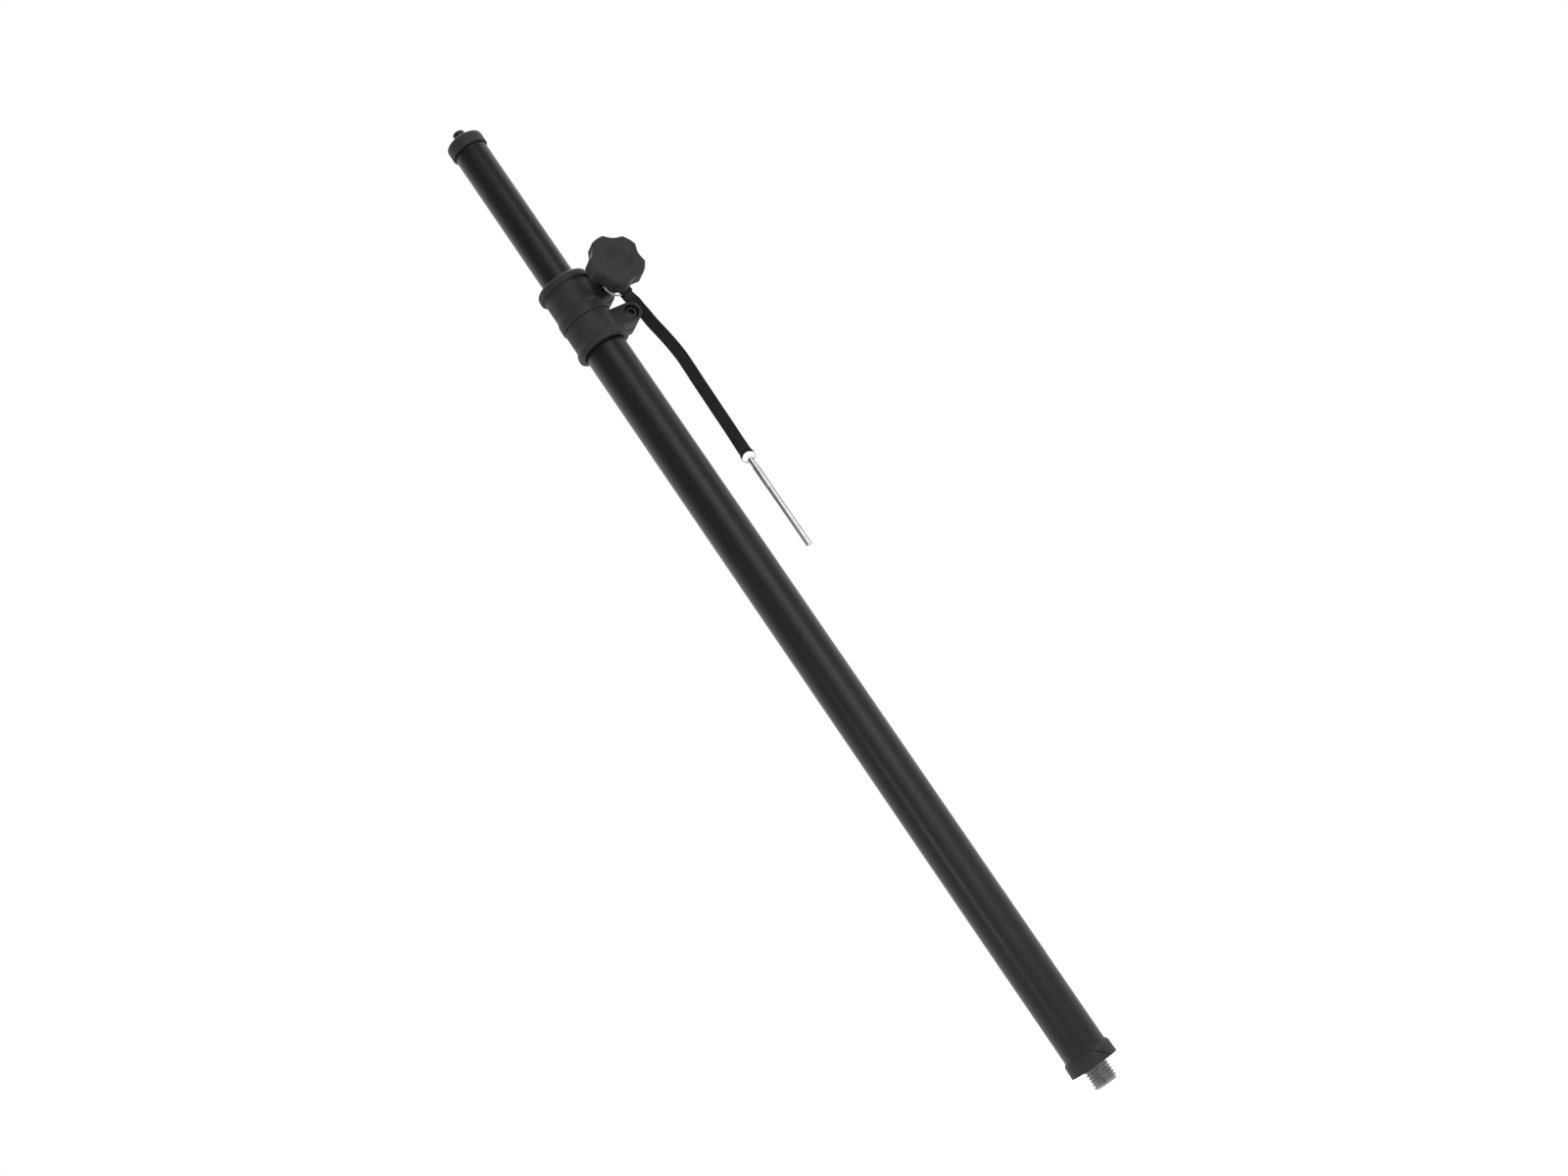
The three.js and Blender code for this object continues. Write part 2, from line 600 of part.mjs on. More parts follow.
function knobWasher() {
  const bore = KNOB_STUD_RADIUS + FIT_GAP;
  return turned([
    [bore, WASHER_SEAT],
    [WASHER_RADIUS, WASHER_SEAT],
    [WASHER_RADIUS, WASHER_SEAT + WASHER_THICKNESS],
    [bore, WASHER_SEAT + WASHER_THICKNESS],
  ]);
}

function knobStud() {
  const shoulder = KNOB_NECK_END - FIT_GAP;
  return turned([
    [0, -KNOB_STUD_END],
    [KNOB_STUD_RADIUS - KNOB_STUD_CHAMFER, -KNOB_STUD_END],
    [KNOB_STUD_RADIUS, KNOB_STUD_CHAMFER - KNOB_STUD_END],
    [KNOB_STUD_RADIUS, shoulder],
    [KNOB_ROOT_RADIUS, shoulder],
    [KNOB_ROOT_RADIUS, KNOB_ROOT_END],
    [0, KNOB_ROOT_END],
  ], SMALL_SIDES);
}

// One ring of the knob: its lobed outline drawn in by an inset, or a plain circle where one is given.
// A scallop is a hollow with a corner at each side, and a lobe is a plain arc between two scallops.
function knobRing(height, { inset = 0, circle = 0 }) {
  const count = KNOB_LOBES * KNOB_STEPS_PER_LOBE;
  const reach = KNOB_STEPS_PER_SCALLOP / 2;
  return Array.from({ length: count }, (_, step) => {
    const angle = KNOB_TURN + (2 * Math.PI * step) / count;
    const place = step % KNOB_STEPS_PER_LOBE;
    const beside = Math.min(place, KNOB_STEPS_PER_LOBE - place) / reach;
    const hollow = KNOB_SCALLOP_DEPTH * Math.max(0, 1 - beside ** 2);
    const radius = circle > 0 ? circle : KNOB_RADIUS - hollow - inset;
    return new THREE.Vector3(radius * Math.sin(angle), radius * Math.cos(angle), height);
  });
}

// The knob's rings run from the blind end of its bore, out along the neck and round the lobes to the dish.
function knob() {
  const bore = KNOB_ROOT_RADIUS + FIT_GAP;
  const back = KNOB_FACE - KNOB_THICKNESS;
  const edge = KNOB_EDGE_ROUNDING;
  const halfway = edge * (1 - Math.SQRT1_2);
  const dishFloor = KNOB_FACE - KNOB_DISH_DEPTH;
  const pocket = DISC_RADIUS + FIT_GAP;
  return lofted([
    knobRing(KNOB_ROOT_END + FIT_GAP, { circle: bore }),
    knobRing(KNOB_NECK_END, { circle: bore }),
    knobRing(KNOB_NECK_END, { circle: KNOB_NECK_RADIUS }),
    knobRing(back, { circle: KNOB_NECK_RADIUS }),
    knobRing(back, { inset: KNOB_BACK_ROUNDING }),
    knobRing(back + KNOB_BACK_ROUNDING, {}),
    knobRing(KNOB_FACE - edge, {}),
    knobRing(KNOB_FACE - halfway, { inset: halfway }),
    knobRing(KNOB_FACE, { inset: edge }),
    knobRing(KNOB_FACE, { circle: KNOB_DISH_RADIUS }),
    knobRing(dishFloor, { circle: KNOB_DISH_RADIUS - KNOB_DISH_DEPTH }),
    knobRing(dishFloor, { circle: pocket }),
    knobRing(dishFloor - DISC_THICKNESS, { circle: pocket }),
  ]);
}

function knobDisc() {
  const foot = KNOB_FACE - KNOB_DISH_DEPTH - DISC_THICKNESS + FIT_GAP;
  const outline = [[0, foot], [DISC_RADIUS, foot]];
  for (let step = 0; step <= DISC_STEPS; step += 1) {
    const share = 1 - step / DISC_STEPS;
    outline.push([DISC_RADIUS * share, foot + DISC_THICKNESS - FIT_GAP + DISC_DOME * (1 - share ** 2)]);
  }
  return turned(outline);
}

function upperTube() {
  const tube = turned([
    [UPPER_BORE_RADIUS, UPPER_TUBE_FOOT],
    [UPPER_TUBE_RADIUS, UPPER_TUBE_FOOT],
    [UPPER_TUBE_RADIUS, UPPER_TUBE_TOP],
    [UPPER_BORE_RADIUS, UPPER_TUBE_TOP],
  ]);
  const reach = UPPER_TUBE_RADIUS + CUT_OVERRUN;
  const holes = Array.from({ length: PIN_HOLE_COUNT }, (_, index) => {
    const height = HOUSING_TOP - PIN_HOLE_DROP - index * PIN_HOLE_PITCH;
    return towardsKnob(rod(PIN_HOLE_RADIUS, -reach, reach, SMALL_SIDES), 0, height);
  });
  holes.push(rivetHole());
  return carved(tube, [], holes);
}

function rivetHole() {
  const reach = UPPER_TUBE_RADIUS + CUT_OVERRUN;
  const hole = rod(RIVET_RADIUS + FIT_GAP, -reach, reach, SMALL_SIDES);
  return towardsKnob(hole, 0, UPPER_TUBE_FOOT + RIVET_HEIGHT);
}

function tubeGlide() {
  const flange = LOWER_BORE_RADIUS - FIT_GAP;
  const shoulder = UPPER_TUBE_FOOT - FIT_GAP;
  const spigot = UPPER_BORE_RADIUS - FIT_GAP;
  const glide = turned([
    [GLIDE_BORE_RADIUS, shoulder - GLIDE_HEIGHT],
    [flange, shoulder - GLIDE_HEIGHT, GLIDE_ROUNDING],
    [flange, shoulder],
    [spigot, shoulder],
    [spigot, shoulder + GLIDE_SPIGOT_LENGTH],
    [GLIDE_BORE_RADIUS, shoulder + GLIDE_SPIGOT_LENGTH],
  ]);
  return carved(glide, [], [rivetHole()]);
}

// A rivet that holds the inner tube on its glide. The turn puts it on one side of the tube or the other.
function glideRivet(turn) {
  const seat = UPPER_TUBE_RADIUS + FIT_GAP;
  const rivet = turned([
    [0, seat - RIVET_LENGTH],
    [RIVET_RADIUS, seat - RIVET_LENGTH],
    [RIVET_RADIUS, seat],
    [RIVET_HEAD_RADIUS, seat],
    [RIVET_HEAD_RADIUS, seat + RIVET_HEAD_THICKNESS],
    [0, seat + RIVET_HEAD_THICKNESS],
  ], SMALL_SIDES);
  return towardsKnob(rivet, 0, 0).rotateZ(turn);
}

function topCap() {
  const inner = UPPER_TUBE_RADIUS + FIT_GAP;
  const roof = CAP_TOP - CAP_ROOF;
  const hole = TOP_STUD_RADIUS + FIT_GAP;
  return turned([
    [inner, CAP_FOOT],
    [inner + CAP_WALL, CAP_FOOT],
    [inner + CAP_WALL, CAP_TOP, CAP_ROUNDING],
    [hole, CAP_TOP],
    [hole, roof],
    [inner, roof],
  ]);
}

function topPlug() {
  const outer = UPPER_BORE_RADIUS - FIT_GAP;
  const hole = TOP_STUD_RADIUS + FIT_GAP;
  const floor = UPPER_TUBE_TOP - TOP_STUD_DEPTH - FIT_GAP;
  return turned([
    [0, UPPER_TUBE_TOP - TOP_PLUG_LENGTH],
    [outer, UPPER_TUBE_TOP - TOP_PLUG_LENGTH],
    [outer, UPPER_TUBE_TOP],
    [hole, UPPER_TUBE_TOP],
    [hole, floor],
    [0, floor],
  ]);
}

function topStud() {
  const tip = CAP_TOP + TOP_STUD_REACH;
  return turned([
    [0, UPPER_TUBE_TOP - TOP_STUD_DEPTH],
    [TOP_STUD_RADIUS, UPPER_TUBE_TOP - TOP_STUD_DEPTH],
    [TOP_STUD_RADIUS, tip - TOP_STUD_CHAMFER],
    [TOP_STUD_RADIUS - TOP_STUD_CHAMFER, tip],
    [0, tip],
  ]);
}

// The centre line of a split ring's wire: two turns side by side, with a short step across between them.
class SplitRingCurve extends THREE.Curve {
  constructor(centre, axis, radius, pitch, start) {
    super();
    this.centre = centre;
    this.radius = radius;
    this.pitch = pitch;
    this.start = start;
    this.axis = axis;
    this.side = new THREE.Vector3(0, 0, 1).cross(axis).normalize();
    this.up = axis.clone().cross(this.side);
  }

  getPoint(t, target = new THREE.Vector3()) {
    const turns = SPLIT_RING_TURNS * t;
    const angle = this.start + 2 * Math.PI * turns;
    const stepWidth = 2 - SPLIT_RING_TURNS;
    const middle = SPLIT_RING_TURNS / 2;
    const crossed = THREE.MathUtils.smoothstep(turns, middle - stepWidth / 2, middle + stepWidth / 2);
    return target.copy(this.centre)
      .addScaledVector(this.side, this.radius * Math.cos(angle))
      .addScaledVector(this.up, this.radius * Math.sin(angle))
      .addScaledVector(this.axis, this.pitch * (crossed - 1 / 2));
  }
}

// The least gap between two stretches of a wire, past the length that its own bend brings close.
function leastGap(curve, wire) {
  const points = curve.getPoints(4 * SPLIT_RING_STEPS);
  const apart = Math.ceil(points.length / 4);
  let least = Infinity;
  points.forEach((point, index) => {
    points.slice(index + apart).forEach((other) => {
      least = Math.min(least, point.distanceTo(other));
    });
  });
  return least - 2 * wire;
}

function splitRing(curve, wire) {
  const section = new THREE.Shape(Array.from({ length: WIRE_SIDES }, (_, side) => {
    const angle = (2 * Math.PI * side) / WIRE_SIDES;
    return new THREE.Vector2(wire * Math.cos(angle), wire * Math.sin(angle));
  }));
  const settings = { steps: SPLIT_RING_STEPS, extrudePath: curve, bevelEnabled: false };
  console.log(`least gap of the wire to itself: ${leastGap(curve, wire).toFixed(2)} mm`);
  return closedBody(new THREE.ExtrudeGeometry(section, settings));
}

function upperSplitRing() {
  const curve = new SplitRingCurve(UPPER_RING_CENTRE, UPPER_RING_AXIS, UPPER_RING_RADIUS,
    UPPER_RING_PITCH, UPPER_RING_START);
  return splitRing(curve, UPPER_RING_WIRE);
}

function lowerRingCentre() {
  return LOWER_EYE_CENTRE.clone().setZ(LOWER_EYE_CENTRE.z - LOWER_RING_RADIUS);
}

function lowerSplitRing() {
  const axis = new THREE.Vector3(0, 0, 1).cross(ACROSS).negate();
  const curve = new SplitRingCurve(lowerRingCentre(), axis, LOWER_RING_RADIUS, LOWER_RING_PITCH,
    LOWER_RING_START);
  return splitRing(curve, LOWER_RING_WIRE);
}

// One webbing eye in its own plane: the points of its loop from the front layer round to the back one,
// as [distance from the ring along the strap, distance to the front].
function eyeLoop(radius) {
  const halfGap = (STRAP_THICKNESS + STRAP_LAYER_GAP) / 2;
  const loop = [[EYE_NECK, halfGap]];
  for (let step = 0; step <= EYE_STEPS; step += 1) {
    const angle = THREE.MathUtils.lerp(EYE_OPENING, 2 * Math.PI - EYE_OPENING, step / EYE_STEPS);
    loop.push([radius * Math.cos(angle), radius * Math.sin(angle)]);
  }
  loop.push([EYE_NECK, -halfGap]);
  return loop;
}

// The strap's centre line with the direction across it at each point: the upper tail, the upper eye, the
// route, the lower eye and the lower tail, in one length of webbing.
function strapLine() {
  const away = new THREE.Vector3(...STRAP_ROUTE[0]).sub(UPPER_EYE_CENTRE);
  away.addScaledVector(UPPER_EYE_ACROSS, -away.dot(UPPER_EYE_ACROSS)).normalize();
  const upperFront = away.clone().cross(UPPER_EYE_ACROSS);
  const up = new THREE.Vector3(0, 0, 1);
  const lowerFront = ACROSS.clone().cross(up);
  const place = (centre, along, front) => ([distance, forward]) => (
    centre.clone().addScaledVector(along, distance).addScaledVector(front, forward));
  const upperEye = eyeLoop(UPPER_EYE_RADIUS).map(place(UPPER_EYE_CENTRE, away, upperFront)).reverse();
  const lowerEye = eyeLoop(LOWER_EYE_RADIUS).map(place(LOWER_EYE_CENTRE, up, lowerFront));
  const route = STRAP_ROUTE.map((point) => new THREE.Vector3(...point));
  const main = new THREE.CatmullRomCurve3([upperEye.at(-1), ...route, lowerEye[0]], false, 'centripetal');
  const length = main.getLength();
  const layers = STRAP_THICKNESS + STRAP_LAYER_GAP;
  const twisted = (distance) => THREE.MathUtils.smoothstep(distance, 0, STRAP_TWIST_LENGTH);
  const station = (distance, back) => {
    const share = distance / length;
    const point = main.getPointAt(share);
    const along = main.getTangentAt(share);
    const across = UPPER_EYE_ACROSS.clone().lerp(ACROSS, twisted(distance));
    across.addScaledVector(along, -across.dot(along)).normalize();
    point.addScaledVector(across.clone().cross(along), back);
    return { point, across };
  };
  const run = (from, to, back, count) => Array.from({ length: count + 1 }, (_, step) => (
    station(THREE.MathUtils.lerp(from, to, step / count), back)));
  return [
    ...run(STRAP_TAIL, 0, layers, STRAP_TAIL_STEPS).slice(0, -1),
    ...upperEye.map((point) => ({ point, across: UPPER_EYE_ACROSS })),
    ...run(0, length, 0, Math.round(length / STRAP_STEP)).slice(1, -1),
    ...lowerEye.map((point) => ({ point, across: ACROSS })),
    ...run(length, length - STRAP_TAIL, layers, STRAP_TAIL_STEPS).slice(1),
  ];
}

// The webbing widens a little towards the lower ring, and its edges are drawn down round the ring's arc.
function tetherStrap() {
  const line = strapLine();
  const rings = line.map(({ point, across }, index) => {
    const before = line[Math.max(index - 1, 0)].point;
    const after = line[Math.min(index + 1, line.length - 1)].point;
    const along = after.clone().sub(before).normalize();
    const face = along.clone().cross(across).normalize();
    const height = (point.z - LOWER_EYE_CENTRE.z) / STRAP_FLARE_LENGTH;
    const nearEnd = 1 - THREE.MathUtils.smoothstep(height, 0, 1);
    const halfWidth = (STRAP_WIDTH / 2) * (1 + STRAP_FLARE_SHARE * nearEnd);
    const column = (share, side) => {
      const offset = halfWidth * share;
      const inside = Math.min(Math.abs(offset), LOWER_RING_RADIUS);
      const sagitta = LOWER_RING_RADIUS - Math.sqrt(LOWER_RING_RADIUS ** 2 - inside ** 2);
      const place = point.clone().addScaledVector(across, offset).addScaledVector(face, side);
      return place.setZ(place.z - nearEnd * sagitta);
    };
    const shares = Array.from({ length: STRAP_COLUMNS + 1 }, (_, step) => (2 * step) / STRAP_COLUMNS - 1);
    const half = STRAP_THICKNESS / 2;
    return [
      ...shares.map((share) => column(share, half)),
      ...shares.reverse().map((share) => column(share, -half)),
    ];
  });
  return lofted(rings);
}

function lockPin() {
  const neckFoot = PIN_TOP - PIN_NECK_HEIGHT;
  const shoulderFoot = neckFoot - PIN_SHOULDER_HEIGHT;
  const tip = PIN_TOP - PIN_LENGTH;
  const pin = turned([
    [0, tip],
    [PIN_RADIUS - PIN_CHAMFER, tip],
    [PIN_RADIUS, tip + PIN_CHAMFER],
    [PIN_RADIUS, shoulderFoot],
    [PIN_SHOULDER_RADIUS, shoulderFoot],
    [PIN_SHOULDER_RADIUS, neckFoot],
    [PIN_NECK_RADIUS, neckFoot],
    [PIN_NECK_RADIUS, PIN_TOP - PIN_CHAMFER],
    [PIN_NECK_RADIUS - PIN_CHAMFER, PIN_TOP],
    [0, PIN_TOP],
  ]);
  const reach = PIN_SHOULDER_RADIUS + CUT_OVERRUN;
  const eye = rod(PIN_EYE_RADIUS, -reach, reach, SMALL_SIDES).rotateY(Math.PI / 2);
  eye.rotateZ(Math.atan2(ACROSS.y, ACROSS.x)).translate(0, 0, PIN_TOP - PIN_EYE_DROP);
  return carved(pin, [], [eye]);
}

// Finishes
function finish(colour, roughness, metalness) {
  return () => new THREE.MeshStandardMaterial({ color: colour, roughness, metalness });
}
const blackCoat = finish(0x24262b, 0.42, 0.1);
const mouldedPlastic = finish(0x34363b, 0.62, 0);
const slidePlastic = finish(0x1c1c1e, 0.5, 0);
const webbing = finish(0x232427, 0.9, 0);
const dullSteel = finish(0x8f9196, 0.4, 1);
const chrome = finish(0xc9ccd0, 0.15, 1);

const pole = new THREE.Group();

function place(name, geometry, material, x = 0, y = 0, z = 0) {
  const mesh = new THREE.Mesh(geometry, material());
  mesh.name = name;
  mesh.position.set(x, y, z);
  pole.add(mesh);
  return mesh;
}

// A piece on a clamp's bolt, made along +Z and turned so that this runs towards the knob.
function placeOnBolt(name, geometry, material, reach, height) {
  place(name, geometry, material, reach, 0, height).rotation.x = Math.PI / 2;
}

place('lower_tube', lowerTube(), blackCoat);
place('foot_sleeve', footSleeve(), mouldedPlastic);
place('foot_plug', footPlug(), dullSteel);
place('threaded_stud', threadedStud(), dullSteel);
place('guide_bush', guideBush(), slidePlastic);
place('clamp_ring', clampRing(), mouldedPlastic);
place('collar_housing', collarHousing(), mouldedPlastic);
placeOnBolt('clamp_screw', clampScrew(), dullSteel, LUG_REACH, LUG_AXIS);
placeOnBolt('clamp_nut', nut(CLAMP_NUT_WIDTH, CLAMP_NUT_HEIGHT, SCREW_RADIUS, FAR_LUG_DEPTH),
  dullSteel, LUG_REACH, LUG_AXIS);
placeOnBolt('knob_nut', nut(KNOB_NUT_WIDTH, KNOB_NUT_HEIGHT, KNOB_STUD_RADIUS, EAR_DEPTH - FIT_GAP),
  dullSteel, KNOB_REACH, KNOB_AXIS);
placeOnBolt('knob_washer', knobWasher(), dullSteel, KNOB_REACH, KNOB_AXIS);
placeOnBolt('knob', knob(), mouldedPlastic, KNOB_REACH, KNOB_AXIS);
placeOnBolt('knob_stud', knobStud(), dullSteel, KNOB_REACH, KNOB_AXIS);
placeOnBolt('knob_disc', knobDisc(), mouldedPlastic, KNOB_REACH, KNOB_AXIS);
place('upper_tube', upperTube(), blackCoat);
place('tube_glide', tubeGlide(), slidePlastic);
place('front_glide_rivet', glideRivet(0), dullSteel, 0, 0, UPPER_TUBE_FOOT + RIVET_HEIGHT);
place('back_glide_rivet', glideRivet(Math.PI), dullSteel, 0, 0, UPPER_TUBE_FOOT + RIVET_HEIGHT);
place('top_cap', topCap(), mouldedPlastic);
place('top_plug', topPlug(), slidePlastic);
place('top_stud', topStud(), dullSteel);
place('upper_split_ring', upperSplitRing(), chrome);
place('tether_strap', tetherStrap(), webbing);
place('lower_split_ring', lowerSplitRing(), chrome);
place('lock_pin', lockPin(), chrome, LOWER_EYE_CENTRE.x, LOWER_EYE_CENTRE.y);

export default pole;
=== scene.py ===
"""Looks of a telescoping speaker pole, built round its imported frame.

The pole stands along +Z with its foot's seat at the origin. The clamp slits face +X and the knob faces -Y.
Lengths are in metres. Each sub-assembly is a class that builds its meshes and dresses them.
"""

from __future__ import annotations

import json
import logging
import math
from collections.abc import Iterable, Sequence
from dataclasses import dataclass, field
from enum import Enum
from functools import cache
from typing import Any

import bpy
import numpy as np
from bpy.types import Material, Mesh, Node, NodeSocket, NodeTree, Object
from mathutils import Matrix, Vector

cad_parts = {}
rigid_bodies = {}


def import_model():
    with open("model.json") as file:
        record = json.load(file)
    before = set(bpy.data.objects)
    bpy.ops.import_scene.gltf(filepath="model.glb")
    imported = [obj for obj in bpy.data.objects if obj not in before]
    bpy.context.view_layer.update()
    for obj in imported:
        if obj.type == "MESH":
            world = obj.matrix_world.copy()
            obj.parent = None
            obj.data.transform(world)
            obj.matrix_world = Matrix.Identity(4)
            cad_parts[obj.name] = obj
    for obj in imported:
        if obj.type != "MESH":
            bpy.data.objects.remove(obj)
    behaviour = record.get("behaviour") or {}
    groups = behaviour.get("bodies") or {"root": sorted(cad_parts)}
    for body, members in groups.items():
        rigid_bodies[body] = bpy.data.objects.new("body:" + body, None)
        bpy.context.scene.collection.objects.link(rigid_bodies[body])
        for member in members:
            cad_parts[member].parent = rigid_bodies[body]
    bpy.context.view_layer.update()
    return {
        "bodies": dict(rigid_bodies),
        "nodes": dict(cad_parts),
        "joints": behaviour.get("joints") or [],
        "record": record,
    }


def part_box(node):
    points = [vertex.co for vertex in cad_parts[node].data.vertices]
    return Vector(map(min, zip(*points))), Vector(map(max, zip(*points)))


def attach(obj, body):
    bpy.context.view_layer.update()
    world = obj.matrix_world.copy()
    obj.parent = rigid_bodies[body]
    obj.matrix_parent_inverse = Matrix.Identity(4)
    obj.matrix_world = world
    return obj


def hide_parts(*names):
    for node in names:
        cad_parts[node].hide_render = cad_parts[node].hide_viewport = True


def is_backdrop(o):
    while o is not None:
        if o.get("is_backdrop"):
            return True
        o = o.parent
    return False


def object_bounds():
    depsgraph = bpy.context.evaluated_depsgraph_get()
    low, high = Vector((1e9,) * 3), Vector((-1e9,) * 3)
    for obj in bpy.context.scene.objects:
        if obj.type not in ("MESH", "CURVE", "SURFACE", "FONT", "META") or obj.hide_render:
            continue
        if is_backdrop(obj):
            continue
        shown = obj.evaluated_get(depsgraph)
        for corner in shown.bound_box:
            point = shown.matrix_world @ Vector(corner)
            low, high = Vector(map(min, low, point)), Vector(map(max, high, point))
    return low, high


LOG = logging.getLogger("speaker_pole")
AXIS_LIMIT = 1e-7
ROUND_SIDES = 128
SMALL_SIDES = 64
FILLET_STEPS = 5
SHARP_ANGLE = math.radians(32)
FILLET_END_WEAR = 0.4
THREAD_WEAR = 0.35
WEAR_START = 0.03
WEAR_SPAN = 0.12
OVERRUN = 0.002
KNOB_REACH = 0.0274
KNOB_RISE = 0.0194
KNOB_STUD_RADIUS = 0.004

Colour = tuple[float, float, float]
Meshes = Sequence[Mesh]
Sockets = dict[str, NodeSocket]


class Body(Enum):
    """The moving bodies of the frame."""

    OUTER = "outer"
    INNER = "inner_pole"
    WASHER = "washer"
    KNOB = "clamp_knob"
    TETHER = "tether"
    PIN = "pin"


class Slot(Enum):
    """The material slots of the record."""

    COAT = "black_coat"
    MOULDED = "moulded_plastic"
    SLIDE = "slide_plastic"
    WEBBING = "webbing"
    STEEL = "steel"
    CHROME = "chrome"


# Node trees


@dataclass(frozen=True)
class Nodes:
    """Adds nodes to one tree and links them."""

    tree: NodeTree

    def add(self, kind: str, inputs: dict[str | int, Any] | None = None, **settings: Any) -> Node:
        """Adds one node.

        Args:
            kind: the node's type.
            inputs: a value or a socket for each input, by name or place.
            settings: the node's own properties.

        Returns:
            The new node.
        """
        node = self.tree.nodes.new(kind)
        for name, value in settings.items():
            setattr(node, name, value)
        for key, value in (inputs or {}).items():
            self.feed(node.inputs[key], value)
        return node

    def feed(self, socket: NodeSocket, value: Any) -> None:
        """Links a socket to an input, or sets the input's value.

        Args:
            socket: the input.
            value: a socket, or a plain value.
        """
        if isinstance(value, NodeSocket):
            self.tree.links.new(value, socket)
        else:
            socket.default_value = value

    def math(self, operation: str, *values: Any, clamp: bool = False) -> NodeSocket:
        """Returns the result of a Math node on numbers or sockets, from 0 to 1 where it is clamped."""
        node = self.add("ShaderNodeMath", dict(enumerate(values)), operation=operation, use_clamp=clamp)
        return node.outputs[0]

    def spread(self, value: Any, low: float, high: float, new_low: Any = 0.0, new_high: Any = 1.0) -> Any:
        """Maps a value smoothly from low and high to new_low and new_high, and keeps it inside them."""
        places = {"Value": value, "From Min": low, "From Max": high, "To Min": new_low, "To Max": new_high}
        return self.add("ShaderNodeMapRange", places, interpolation_type="SMOOTHSTEP").outputs[0]

    def mix(self, share: Any, first: Any, second: Any) -> NodeSocket:
        """Mixes two colours.

        Args:
            share: how much of the second colour shows.
            first: a colour or a socket.
            second: a colour or a socket.

        Returns:
            The mixed colour.
        """
        node = self.add("ShaderNodeMix", data_type="RGBA")
        self.feed(node.inputs[0], share)
        for place, value in ((6, first), (7, second)):
            self.feed(node.inputs[place], (*value, 1.0) if isinstance(value, tuple) else value)
        return node.outputs[2]

    def mix_shaders(self, share: Any, first: Node, second: Node) -> Node:
        """Returns a node that mixes two shaders, by how much of the second one shows."""
        return self.add("ShaderNodeMixShader", {0: share, 1: first.outputs[0], 2: second.outputs[0]})

    def dot(self, first: Any, second: Vector) -> NodeSocket:
        """Returns the dot product of a direction and a fixed one."""
        node = self.add("ShaderNodeVectorMath", {0: first, 1: second}, operation="DOT_PRODUCT")
        return node.outputs["Value"]

    def noise(self, place: Any, scale: Any, detail: float = 2.0, roughness: float = 0.5) -> NodeSocket:
        """Returns a noise from 0 to 1, by its waves in a metre, octaves and how much the finer ones count."""
        inputs = {"Vector": place, "Scale": scale, "Detail": detail, "Roughness": roughness}
        return self.add("ShaderNodeTexNoise", inputs).outputs["Fac"]


def fresh_nodes(owner: Any) -> Nodes:
    """Returns the node tree of a new material or world, emptied."""
    owner.use_nodes = True
    owner.node_tree.nodes.clear()
    return Nodes(owner.node_tree)


def new_group(
    name: str, kind: str, inputs: Sequence[tuple[str, str, Any]], outputs: Sequence[tuple[str, str]]
) -> tuple[Nodes, Sockets, Sockets]:
    """Starts a node group with named sockets.

    Args:
        name: the group's name.
        kind: the tree's type.
        inputs: the name, type and default of each input.
        outputs: the name and type of each output.

    Returns:
        The nodes, the input node's sockets by name and the output node's.
    """
    tree = bpy.data.node_groups.new(name, kind)
    for label, socket_type, default in inputs:
        socket = tree.interface.new_socket(name=label, in_out="INPUT", socket_type=socket_type)
        if default is not None:
            socket.default_value = default
    for label, socket_type in outputs:
        tree.interface.new_socket(name=label, in_out="OUTPUT", socket_type=socket_type)
    nodes = Nodes(tree)
    source = nodes.add("NodeGroupInput")
    target = nodes.add("NodeGroupOutput")
    given = {label: source.outputs[label] for label, _, _ in inputs}
    wanted = {label: target.inputs[label] for label, _ in outputs}
    return nodes, given, wanted


FLOAT = "NodeSocketFloat"
VECTOR = "NodeSocketVector"
GEOMETRY = "NodeSocketGeometry"
INTEGER = "NodeSocketInt"
MATERIAL = "NodeSocketMaterial"


@cache
def surface_grain() -> NodeTree:
    """Builds the grain of a moulded or coated surface: a fine height, and slow patches.

    Returns:
        The group.
    """
    sockets = [("Vector", VECTOR, None), ("Grain Scale", FLOAT, 900.0), ("Patch Scale", FLOAT, 40.0)]
    nodes, given, wanted = new_group(
        "surface_grain", "ShaderNodeTree", sockets, [("Height", FLOAT), ("Patches", FLOAT)]
    )
    fine = nodes.noise(given["Vector"], given["Grain Scale"], detail=3.0, roughness=0.6)
    pits = nodes.add("ShaderNodeTexVoronoi", {"Vector": given["Vector"], "Scale": given["Grain Scale"]})
    pit_share = 0.5
    nodes.feed(wanted["Height"], nodes.math("MULTIPLY_ADD", pits.outputs["Distance"], pit_share, fine))
    slow = nodes.noise(given["Vector"], given["Patch Scale"], detail=4.0, roughness=0.55)
    nodes.feed(wanted["Patches"], nodes.spread(slow, low=0.3, high=0.7))
    return nodes.tree


